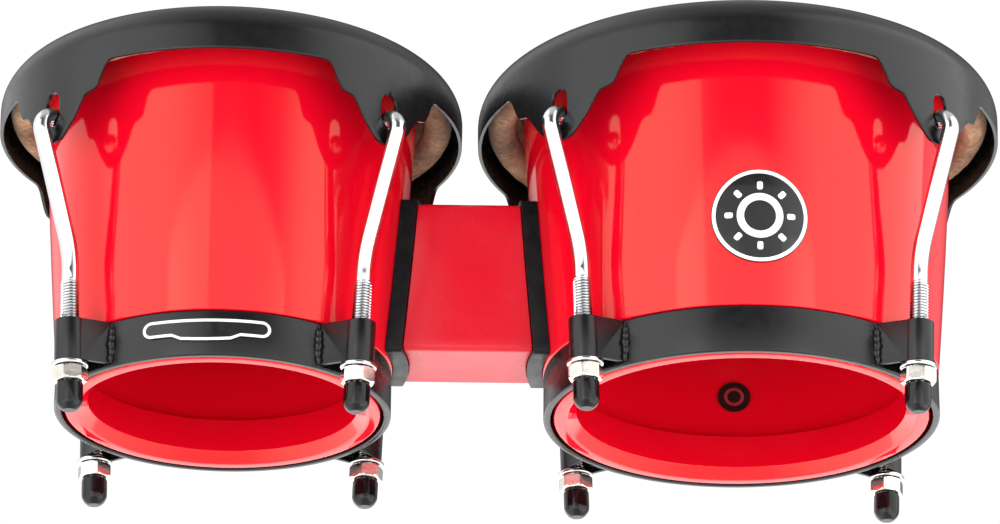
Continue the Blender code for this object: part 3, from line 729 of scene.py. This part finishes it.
def skirt(radius, z):
    """The skirt's outer radius at a height: it leans in towards the ears' tips."""
    drop = max(0.0, RIM_EQUATOR - z) / (RIM_EQUATOR - RIM_EAR_TIP)
    return radius - RIM_PULL_IN * drop**1.6


def rim_section(extra, edge):
    """The sheet in section, closed: outer face from the inner lip to the lower edge, and back inside."""
    radius = RIM_RADIUS + extra
    lip = RIM_LIP + extra
    outer = [(lip, RIM_LIP_BOTTOM + (RIM_CURL_HEIGHT - RIM_LIP_BOTTOM) * i / 4) for i in range(4)]
    outer += arc((lip + RIM_CURL, RIM_CURL_HEIGHT), RIM_CURL, 180.0, 96.0, 6)
    outer += arc((radius - RIM_CROWN, RIM_EQUATOR), RIM_CROWN, 74.0, 0.0, 22)
    rows = 16
    for i in range(1, rows + 1):
        z = RIM_EQUATOR + (edge + 0.4 - RIM_EQUATOR) * i / rows
        outer.append((skirt(radius, z), z))
    inner = []
    for i, (x, y) in enumerate(outer):
        a, b = outer[max(i - 1, 0)], outer[min(i + 1, len(outer) - 1)]
        along = Vector((b[0] - a[0], b[1] - a[1])).normalized()
        inner.append((x + along.y * RIM_SHEET, y - along.x * RIM_SHEET))
    x = outer[-1][0]
    far = x - RIM_SHEET
    low = [(x - 0.12, edge + 0.12), (x - 0.4, edge), (far + 0.4, edge), (far + 0.12, edge + 0.12)]
    return outer + low + inner[::-1]


def slot_outline():
    half = SLOT_WIDTH / 2
    low, high = (0.0, SLOT_BOTTOM + half), (0.0, SLOT_TOP - half)
    return arc(high, half, 0.0, 180.0, 20) + arc(low, half, 180.0, 360.0, 20)


def make_rim(drum, look):
    name, extra = drum.name, drum.extra
    verts = []
    for column in range(RIM_COLUMNS):
        azimuth = 360.0 * column / RIM_COLUMNS
        offset = (azimuth + 45.0) % 90.0 - 45.0
        section = rim_section(extra, ear_edge(offset))
        angle = math.radians(azimuth + 45.0 + drum.turn)
        verts += [(r * math.cos(angle), r * math.sin(angle), z) for r, z in section]
    faces = grid_faces(RIM_COLUMNS, len(section), True, True)
    rim = add(f"{name}_rim_sheet", verts, faces, look, on_axis(drum))
    cutters = []
    for station, azimuth in STATIONS.items():
        inward = Matrix.Translation((0.0, 0.0, (RIM_RADIUS + extra - 14.0) * MM))
        matrix = at_wall(drum, azimuth + drum.turn, 0.0) @ inward
        cutters.append(prism(f"slot_{station}", slot_outline(), 24.0, None, matrix))
    boolean(rim, cutters, "DIFFERENCE")
    eased(rim, 0.3, segments=2, angle=60.0)
    place(rim, f"{name}_tension_set", "black_steel", f"{name}_rim")


# Bottom band


def loop_outline(extra):
    """A bracket in plan: a strap round the lug whose legs spread to the band. X is outward."""
    band = BAND_RADIUS + extra
    foot = math.sqrt(band**2 - LOOP_SPLAY**2) - 1.2 - LUG_RADIUS - extra
    outer = [(foot, -LOOP_SPLAY - 0.6), *arc((0.0, 0.0), LOOP_INNER + LOOP_SHEET, -100.0, 100.0, 28)]
    inner = [(foot, LOOP_SPLAY - LOOP_SHEET), *arc((0.0, 0.0), LOOP_INNER, 100.0, -100.0, 28)]
    return [*outer, (foot, LOOP_SPLAY + 0.6), *inner, (foot, LOOP_SHEET - LOOP_SPLAY)]


def weld_bead(name, matrix, seed):
    """A run of weld metal: overlapping ripples that wander a little, thinner at both ends."""
    rows, steps = [], 48
    for i in range(steps + 1):
        t = i / steps
        taper = math.sin(math.pi * min(max(t, 0.02), 0.98)) ** 0.4
        height = WELD_ENDS[0] + (WELD_ENDS[1] - WELD_ENDS[0]) * t
        ripple = WELD_RIPPLE_SHARE * math.sin(2 * math.pi * height / WELD_RIPPLE + seed)
        wander = WELD_WANDER * noise.noise(Vector((t * 5.0, seed, 0.0)))
        rows.append((wander, height, WELD_RADIUS * taper * (1 + ripple)))
    return sweep(name, rows, None, 16, matrix)


def make_band(drum, look):
    name, extra = drum.name, drum.extra
    outer = BAND_RADIUS + extra
    inner = outer - BAND_SHEET
    outline = filleted(
        [(inner, 0.0, 0.7), (inner, BAND_HEIGHT, 0.4), (outer, BAND_HEIGHT, 0.7), (outer, 0.0, 1.1)], steps=4
    )
    band = revolve(f"{name}_foot_band", outline, look, 288, on_axis(drum))
    loops, beads = [], []
    for number, (station, azimuth) in enumerate(STATIONS.items()):
        matrix = at_station(drum, azimuth) @ Matrix.Translation((0.0, 0.0, LOOP_BOTTOM * MM))
        loop = prism(f"loop_{station}", loop_outline(extra), LOOP_HEIGHT, None, matrix)
        loops.append(eased(loop, 0.35))
        for side in (-1, 1):
            shift = math.asin((LOOP_SPLAY + 0.9) / outer) * side
            turned = Matrix.Rotation(math.radians(azimuth + drum.turn) + shift, 4, "Z")
            matrix = on_axis(drum) @ turned @ Matrix.Translation(((outer + 0.1) * MM, 0.0, 0.0))
            beads.append(weld_bead(f"bead_{station}_{side}", matrix, number * 2.3 + side))
    boolean(band, loops, "UNION")
    boolean(band, beads, "UNION")
    place(band, FRAME_BODY, "black_steel", f"{name}_bottom_band")


# Lugs, washers, nuts and caps


def bezier(a, b, c, steps):
    points = []
    for i in range(1, steps):
        t = i / steps
        k = ((1 - t) ** 2, 2 * t * (1 - t), t**2)
        points.append(tuple(k[0] * a[n] + k[1] * b[n] + k[2] * c[n] for n in (0, 1)))
    return points


def lug_route():
    """The lug's centre line as (reach from the shank's foot, height), bottom to hook end."""
    per_turn = 9
    count = round((THREAD_END - LUG_BOTTOM) / THREAD_PITCH * per_turn)
    heights = [LUG_BOTTOM + (THREAD_END - LUG_BOTTOM) * i / count for i in range(count + 1)]
    route = [(LUG_LEAN * h, h) for h in heights]
    knee = (LUG_LEAN * LUG_BEND, LUG_BEND)
    below = (LUG_LEAN * (LUG_BEND - LUG_BEND_REACH), LUG_BEND - LUG_BEND_REACH)
    above = (knee[0] + LUG_SLOPE * LUG_BEND_REACH, LUG_BEND + LUG_BEND_REACH)
    route += [below, *bezier(below, knee, above, 14), above]
    reach = knee[0] + LUG_SLOPE * (LUG_HOOK_START - LUG_BEND)
    tilt = math.atan(LUG_SLOPE)
    centre = (reach - LUG_HOOK_ARC * math.cos(tilt), LUG_HOOK_START + LUG_HOOK_ARC * math.sin(tilt))
    return route + arc(centre, LUG_HOOK_ARC, -math.degrees(tilt), LUG_HOOK_END, 24)


def thread_radius(z, a, radius):
    """A rounded screw thread below its top, which runs out into the plain shank."""
    if z > THREAD_END or radius != LUG_SHANK:
        return radius
    wave = 0.5 - 0.5 * math.cos(2 * math.pi * (z / THREAD_PITCH - a / (2 * math.pi)))
    cut = THREAD_RADIUS - THREAD_DEPTH * wave
    run_out = min(1.0, max(0.0, (THREAD_END - z) / 2.0))
    return radius + (cut - radius) * run_out


def make_lug(drum, station, azimuth, look):
    name = f"{drum.name}_lug_{station}"
    rows = [(x, z, LUG_SHANK) for x, z in lug_route()]
    tip = Vector(rows[-1][:2])
    ahead = (tip - Vector(rows[-2][:2])).normalized()
    for step, ease in ((0.4, 0.1), (0.7, 0.35), (0.8, 0.8)):
        rows.append((*(tip + ahead * step), LUG_SHANK - ease))
    lug = sweep(f"{name}_rod", rows, look, 28, at_station(drum, azimuth, is_leaning=False), thread_radius)
    place(lug, f"{drum.name}_tension_set", "chrome", name)


def make_washer(drum, station, azimuth, look):
    top = LOOP_BOTTOM - GAP
    bottom = top - WASHER_THICKNESS
    corners = [
        (WASHER_BORE, bottom, 0.2),
        (WASHER_BORE, top, 0.2),
        (WASHER_RADIUS, top, 0.75),
        (WASHER_RADIUS, bottom, 0.45),
    ]
    name = f"{drum.name}_washer_{station}"
    washer = revolve(f"{name}_disc", filleted(corners), look, 72, at_station(drum, azimuth))
    place(washer, FRAME_BODY, "chrome", name)


def hexagon(name, flats, height, bore, top, look, matrix):
    """A hexagon whose corners are turned off to a cone at both ends, bored through if it has a bore."""
    steps, half, corner = 96, flats / 2, flats / math.sqrt(3)
    rows = [0.0, 0.12, 0.3, 0.6, 0.95, 1.4, 2.0]
    levels = rows + [height - r for r in reversed(rows)]
    verts = []
    for step in range(steps):
        a = 2 * math.pi * step / steps
        side = half / math.cos((a + math.pi / 6) % (math.pi / 3) - math.pi / 6)
        ring = []
        for level in levels:
            end = min(level, height - level)
            cone = half - 0.25 + (end / math.tan(math.radians(30.0)) if end < 2.0 else corner)
            ring.append((min(side, cone, corner - 0.05), top - height + level))
        inner = bore if bore else 0.01
        edge = 0.35 if bore else 0.0
        low = top - height
        ring += [(inner + edge, top), (inner, top - edge), (inner, low + edge), (inner + edge, low)]
        verts += [(r * math.cos(a), r * math.sin(a), z) for r, z in ring]
    return add(name, verts, grid_faces(steps, len(levels) + 4, True, True), look, matrix)


def make_nut(drum, station, azimuth, look):
    name = f"{drum.name}_nut_{station}"
    top = LOOP_BOTTOM - WASHER_THICKNESS - 2 * GAP
    nut = hexagon(f"{name}_hexagon", NUT_FLATS, NUT_HEIGHT, NUT_BORE, top, look, at_station(drum, azimuth))
    place(nut, name, "nickel", name)


def make_cap(drum, station, azimuth, look):
    """A dipped rubber cap with a thick mouth. Its dome is flattened on the floor."""
    name = f"{drum.name}_cap_{station}"
    bottom = LUG_BOTTOM - GAP
    dome = arc((0.0, CAP_DOME), CAP_RADIUS, 0.0, -90.0, 20)
    mouth = [(CAP_BORE, bottom, 0), (CAP_BORE, CAP_TOP, 0.4)]
    mouth += [(CAP_RADIUS, CAP_TOP, 0.7), (CAP_RADIUS, CAP_DOME, 0)]
    outline = [(0.0, bottom), *filleted(mouth, is_closed=False)[:-1]]
    outline += [(CAP_RADIUS, CAP_TOP - 2.0), (CAP_RADIUS + 0.04, CAP_TOP - 4.0), *dome]
    matrix = at_station(drum, azimuth)
    cap = revolve(f"{name}_dome", outline, look, 72, matrix, is_closed=False)
    back = matrix.inverted()
    for vertex in cap.data.vertices:
        world = matrix @ vertex.co
        if world.z < 0.0:
            world.z = 0.0
            vertex.co = back @ world
    place(cap, f"{drum.name}_tension_set", "black_rubber", name)


# Block, gaskets, plates, bolts, badge and labels


def wall_solid(drum, offset):
    """A solid of revolution whose side is the shell's outside moved outward by an offset."""
    side = [(outside(drum.extra, h) + offset, float(h)) for h in range(140, -1, -10)]
    outline = [(0.0, 140.0), *side, (0.0, 0.0)]
    return revolve("wall", outline, None, 480, on_axis(drum), is_closed=False)


def through_wall(name, drum, azimuth, height, outline, look):
    """An outline raised right through the wall, from well inside it to well outside."""
    start = Matrix.Translation((0.0, 0.0, (outside(drum.extra, height) - PUNCH_DEPTH) * MM))
    return prism(name, outline, PUNCH_LENGTH, look, at_wall(drum, azimuth, height) @ start)


def wall_patch(name, drum, azimuth, height, outline, inner, outer, look):
    """A plate of an outline, bent to the wall, between two distances from the shell's outside."""
    plate = through_wall(name, drum, azimuth, height, outline, look)
    boolean(plate, [wall_solid(drum, outer)], "INTERSECT")
    return boolean(plate, [wall_solid(drum, inner)], "DIFFERENCE")


def rectangle(width, bottom, top, corner):
    half = width / 2
    corners = [(-half, bottom, corner), (half, bottom, corner), (half, top, corner), (-half, top, corner)]
    return filleted(corners) if corner else [c[:2] for c in corners]


def circle(radius, steps=96):
    return arc((0.0, 0.0), radius, 0.0, 360.0, steps)[:-1]


def bolt_bores(drum):
    bores = []
    for height in BOLT_HEIGHTS.values():
        start, end = outside(drum.extra, height) - 16.0, outside(drum.extra, height) + 21.0
        outline = [(0.0, start), (BOLT_BORE, start), (BOLT_BORE, end), (0.0, end)]
        bores.append(revolve("bore", outline, None, 32, at_wall(drum, drum.facing, height), is_closed=False))
    return bores


def make_block(look):
    outline = rectangle(BLOCK_DEPTH, BLOCK_BOTTOM, BLOCK_TOP, 0.0)
    along = Matrix.Rotation(math.pi / 2, 4, "Z") @ Matrix.Rotation(math.pi / 2, 4, "X")
    start = Matrix.Translation((MACHO_X * MM, 0.0, BAND_EDGE * MM))
    block = prism("centre_block_body", outline, HEMBRA_X - MACHO_X, look, start @ along)
    eased(block, BLOCK_EDGE, segments=6)
    for drum in DRUMS:
        boolean(block, [wall_solid(drum, GASKET + 2 * GAP)], "DIFFERENCE")
        boolean(block, bolt_bores(drum), "DIFFERENCE")
    eased(block, 0.35, segments=2, angle=55.0)
    place(block, FRAME_BODY, "block_red", "centre_block")


def make_gasket(drum, look):
    name = f"{drum.name}_gasket"
    middle = (BLOCK_BOTTOM + BLOCK_TOP) / 2
    half = (BLOCK_TOP - BLOCK_BOTTOM) / 2 + GASKET_PROUD
    outline = rectangle(BLOCK_DEPTH + 2 * GASKET_PROUD, -half, half, 2.2)
    gasket = wall_patch(f"{name}_pad", drum, drum.facing, middle, outline, GAP, GAP + GASKET, look)
    eased(gasket, GASKET_EDGE, segments=5, angle=60.0)
    boolean(gasket, bolt_bores(drum), "DIFFERENCE")
    place(gasket, FRAME_BODY, "black_rubber", name)


def make_plate(drum, look):
    name = f"{drum.name}_backing_plate"
    low, high = BOLT_HEIGHTS.values()
    half = (high - low) / 2 + PLATE_MARGIN
    face = -(SHELL_WALL + INSIDE_GAP)
    outline = rectangle(PLATE_DEPTH, -half, half, 4.0)
    spot = (drum, drum.facing, (low + high) / 2)
    plate = wall_patch(f"{name}_sheet", *spot, outline, face - PLATE_SHEET, face, look)
    boolean(plate, bolt_bores(drum), "DIFFERENCE")
    eased(plate, 0.3, segments=2, angle=60.0)
    place(plate, FRAME_BODY, "zinc_steel", name)


def make_bolt(drum, label, height, look):
    name = f"{drum.name}_block_bolt_{label}"
    at = outside(drum.extra, height)
    seat = at - SHELL_WALL - INSIDE_GAP - PLATE_SHEET - GAP - SHELL_TAPER * BOLT_FLATS / 2
    matrix = at_wall(drum, drum.facing, height)
    bolt = hexagon(f"{name}_screw", BOLT_FLATS, BOLT_HEAD, 0.0, seat, look, matrix)
    tip = at + BOLT_REACH
    shaft = [(0.0, seat - 2.0), (BOLT_SHAFT, seat - 2.0), (BOLT_SHAFT, tip - 0.8)]
    shaft += [(BOLT_SHAFT - 0.8, tip), (0.0, tip)]
    boolean(bolt, [revolve("shaft", shaft, None, 48, matrix, is_closed=False)], "UNION")
    place(bolt, FRAME_BODY, "zinc_steel", name)


def ring(name, drum, azimuth, height, radii, layer, look):
    """A printed ring on the wall, from the inner to the outer of two radii."""
    outer, inner = circle(radii[1]), circle(radii[0])
    printed = wall_patch(name, drum, azimuth, height, outer, *layer, look)
    hole = through_wall("hole", drum, azimuth, height, inner, None)
    return boolean(printed, [hole], "DIFFERENCE")


def make_badge(black, white):
    """A round badge: a white border, and a plain drumhead sign with eight tuning points."""
    drum = HEMBRA
    layer = (GAP, GAP + 0.55)
    ink = (GAP + 0.3, GAP + 0.7)
    spot = (drum, BADGE_AZIMUTH, BADGE_HEIGHT)
    disc = wall_patch("hembra_badge_disc", *spot, circle(BADGE_RADIUS), *layer, black)
    place(eased(disc, INK, 2, 60.0), FRAME_BODY, "badge_black", "hembra_badge")
    place(ring("hembra_badge_border", *spot, BADGE_BORDER, ink, white), FRAME_BODY, "badge_black")
    place(ring("hembra_badge_head", *spot, BADGE_RING, ink, white), FRAME_BODY, "badge_black")
    for number in range(BADGE_MARKS):
        turn = Matrix.Rotation(2 * math.pi * number / BADGE_MARKS, 2)
        bar = [tuple(turn @ Vector(p)) for p in rectangle(2.4, 11.2, 14.6, 0.8)]
        mark = wall_patch(f"hembra_badge_mark_{number}", *spot, bar, *ink, white)
        place(mark, FRAME_BODY, "badge_black")


def make_inner_label(black, red):
    drum = HEMBRA
    face = -(SHELL_WALL + INSIDE_GAP)
    spot = (drum, INNER_LABEL_AZIMUTH, INNER_LABEL_HEIGHT)
    outline = circle(INNER_LABEL_RADIUS, 64)
    disc = wall_patch("hembra_inner_label_disc", *spot, outline, face - 0.5, face, black)
    place(disc, FRAME_BODY, "badge_black", "hembra_inner_label")
    ink = (face - 0.65, face - 0.3)
    place(ring("hembra_inner_label_ring", *spot, INNER_LABEL_RING, ink, red), FRAME_BODY, "badge_black")


def plaque(inset):
    """The band label's outline, drawn in by an inset: round ends and a bulge along its lower edge."""
    half = BAND_LABEL_HEIGHT / 2 - inset
    reach = BAND_LABEL_WIDTH / 2 - BAND_LABEL_HEIGHT / 2
    low = -half - BAND_LABEL_BULGE
    lower = [(-0.62 * reach, -half)]
    lower += [(x * 0.5 * reach, low + BAND_LABEL_BULGE * 0.28 * x**2) for x in (-0.9, -0.45, 0.0, 0.45, 0.9)]
    lower += [(0.62 * reach, -half)]
    return lower + arc((reach, 0.0), half, -90.0, 90.0, 14) + arc((-reach, 0.0), half, 90.0, 270.0, 14)


def band_patch(name, outline, inner, outer, look, hole=None):
    """A plate of an outline, bent round the macho's band, between two distances from it."""
    drum = MACHO
    start = at_wall(drum, BAND_LABEL_AZIMUTH, BAND_LABEL_CENTRE) @ Matrix.Translation((0.0, 0.0, 50.0 * MM))
    plate = prism(name, outline, 30.0, look, start)
    if hole:
        boolean(plate, [prism("hole", hole, 30.0, None, start)], "DIFFERENCE")
    for offset, operation in ((outer, "INTERSECT"), (inner, "DIFFERENCE")):
        radius = BAND_RADIUS + offset
        side = [(0.0, -2.0), (radius, -2.0), (radius, 22.0), (0.0, 22.0)]
        boolean(plate, [revolve("side", side, None, 480, on_axis(drum), is_closed=False)], operation)
    return plate


def make_band_label(black, white):
    plate = band_patch("macho_band_label_plate", plaque(0.0), GAP, GAP + 0.5, black)
    place(plate, FRAME_BODY, "label_black", "macho_band_label")
    edges = [plaque(inset) for inset in BAND_LABEL_BORDER]
    border = band_patch("macho_band_label_border", edges[0], GAP + 0.25, GAP + 0.65, white, edges[1])
    place(border, FRAME_BODY, "label_black")


# Stage: a floor that is seen from above only, four soft boxes and a white room


def make_floor():
    """A pale floor that only the camera sees, and only from above. It fades out away from the drums."""
    corners = [(x * FLOOR_SIZE, y * FLOOR_SIZE, 0.0) for x, y in ((-1, -1), (1, -1), (1, 1), (-1, 1))]
    mesh = bpy.data.meshes.new("floor")
    mesh.from_pydata(corners, [], [(0, 1, 2, 3)])
    floor = bpy.data.objects.new("floor", mesh)
    bpy.context.scene.collection.objects.link(floor)
    floor.location.z = FLOOR_HEIGHT
    look = bpy.data.materials.new("floor")
    look.use_nodes = True
    nodes, links = look.node_tree.nodes, look.node_tree.links
    paint = nodes["Principled BSDF"]
    paint.inputs["Base Color"].default_value = (0.86, 0.86, 0.86, 1.0)
    paint.inputs["Roughness"].default_value = 0.8
    clear = nodes.new("ShaderNodeBsdfTransparent")
    path, side = nodes.new("ShaderNodeLightPath"), nodes.new("ShaderNodeNewGeometry")
    seen = nodes.new("ShaderNodeMath")
    seen.operation = "SUBTRACT"
    seen.use_clamp = True
    mix = nodes.new("ShaderNodeMixShader")
    links.new(path.outputs["Is Camera Ray"], seen.inputs[0])
    links.new(side.outputs["Backfacing"], seen.inputs[1])
    reach, near = nodes.new("ShaderNodeVectorMath"), map_range(nodes, *FLOOR_FADE, 1.0, 0.0)
    reach.operation = "LENGTH"
    drawn = nodes.new("ShaderNodeMath")
    drawn.operation = "MULTIPLY"
    links.new(side.outputs["Position"], reach.inputs[0])
    links.new(reach.outputs["Value"], near.inputs["Value"])
    links.new(seen.outputs[0], drawn.inputs[0])
    links.new(near.outputs[0], drawn.inputs[1])
    links.new(drawn.outputs[0], mix.inputs["Fac"])
    links.new(clear.outputs[0], mix.inputs[1])
    links.new(paint.outputs[0], mix.inputs[2])
    links.new(mix.outputs[0], nodes["Material Output"].inputs["Surface"])
    mesh.materials.append(look)


def soft_box(name, edge_from, edge_to, height, radiance, fading):
    """An upright soft box between two points of the plan, facing the drums, that fades in from one end."""
    light = bpy.data.lights.new(name, "AREA")
    light.shape = "RECTANGLE"
    a, b = Vector((*edge_from, 0.0)), Vector((*edge_to, 0.0))
    light.size, light.size_y = (b - a).length, height[1] - height[0]
    light.energy = radiance * math.pi * light.size * light.size_y
    light.use_nodes = True
    nodes, links = light.node_tree.nodes, light.node_tree.links
    where, split = nodes.new("ShaderNodeNewGeometry"), nodes.new("ShaderNodeSeparateXYZ")
    links.new(where.outputs["Parametric"], split.inputs[0])
    fade = map_range(nodes, *fading, 0.0, 1.0)
    links.new(split.outputs["X"], fade.inputs["Value"])
    links.new(fade.outputs[0], nodes["Emission"].inputs["Strength"])
    obj = bpy.data.objects.new(name, light)
    bpy.context.scene.collection.objects.link(obj)
    up = Vector((0.0, 0.0, 1.0))
    across = (b - a).normalized()
    normal = across.cross(up)
    if normal.dot(a + b) > 0:
        across, normal = -across, -normal
    middle = (a + b) / 2 + up * sum(height) / 2
    turned = Matrix((-across, up, -normal)).transposed()
    obj.matrix_world = Matrix.Translation(middle) @ turned.to_4x4()
    obj.visible_camera = False


def make_room():
    """A dim room that glows to the left, to the right, below and above. The camera sees it all white."""
    world = bpy.data.worlds.new("room")
    bpy.context.scene.world = world
    world.use_nodes = True
    nodes, links = world.node_tree.nodes, world.node_tree.links
    where = nodes.new("ShaderNodeTexCoord")
    split = nodes.new("ShaderNodeSeparateXYZ")
    links.new(where.outputs["Generated"], split.inputs[0])
    total = None
    for axis, start, end, glow in ROOM_GLOW:
        lobe = map_range(nodes, start, end, 0.0, glow)
        links.new(split.outputs[axis], lobe.inputs["Value"])
        step = nodes.new("ShaderNodeMath")
        step.inputs[0].default_value = ROOM_DIM
        links.new(lobe.outputs[0], step.inputs[1])
        if total:
            links.new(total, step.inputs[0])
        total = step.outputs[0]
    path = nodes.new("ShaderNodeLightPath")
    seen = nodes.new("ShaderNodeMix")
    seen.inputs["B"].default_value = ROOM_SEEN
    links.new(path.outputs["Is Camera Ray"], seen.inputs["Factor"])
    links.new(total, seen.inputs["A"])
    links.new(seen.outputs["Result"], nodes["Background"].inputs["Strength"])
    nodes["Background"].inputs["Color"].default_value = (1.0, 1.0, 1.0, 1.0)


def make_camera():
    """Low in front of the drums, looking up along their undersides."""
    data = bpy.data.cameras.new("camera")
    data.lens = CAMERA_LENS
    data.clip_start, data.clip_end = 0.05, 50.0
    camera = bpy.data.objects.new("camera", data)
    bpy.context.scene.collection.objects.link(camera)
    yaw, pitch, roll = (math.radians(v) for v in (CAMERA_YAW, CAMERA_PITCH, CAMERA_ROLL))
    look = Matrix.Rotation(-yaw, 4, "Z") @ Matrix.Rotation(math.pi / 2 + pitch, 4, "X")
    spin = Matrix.Rotation(roll, 4, "Z")
    camera.matrix_world = Matrix.Translation(CAMERA_AT) @ look @ spin
    bpy.context.scene.camera = camera


def main():
    make_camera()
    make_room()
    make_floor()
    for box in SOFT_BOXES:
        soft_box(*box)
    bpy.context.scene.view_settings.view_transform = "Standard"

    red, block, black = red_abs(), block_red(), powder_coat()
    bright, warm, dull = chrome(), nickel(), zinc()
    soft, dipped, raw = rubber(), cap_vinyl(), hide()
    ink_black = vinyl("label_black", (0.006, 0.006, 0.007), 0.006)
    ink_white = vinyl("label_white", (0.82, 0.82, 0.81), 0.05)
    ink_red = vinyl("label_red", (0.30, 0.01, 0.015), 0.05)
    for drum in DRUMS:
        make_shell(drum, red)
        make_skin(drum, raw)
        make_hoop(drum, dull)
        make_rim(drum, black)
        make_band(drum, black)
        for station, azimuth in STATIONS.items():
            make_lug(drum, station, azimuth, bright)
            make_washer(drum, station, azimuth, bright)
            make_nut(drum, station, azimuth, warm)
            make_cap(drum, station, azimuth, dipped)
        make_gasket(drum, soft)
        make_plate(drum, dull)
        for label, height in BOLT_HEIGHTS.items():
            make_bolt(drum, label, height, dull)
    make_block(block)
    make_badge(ink_black, ink_white)
    make_inner_label(ink_black, ink_red)
    make_band_label(ink_black, ink_white)


main()
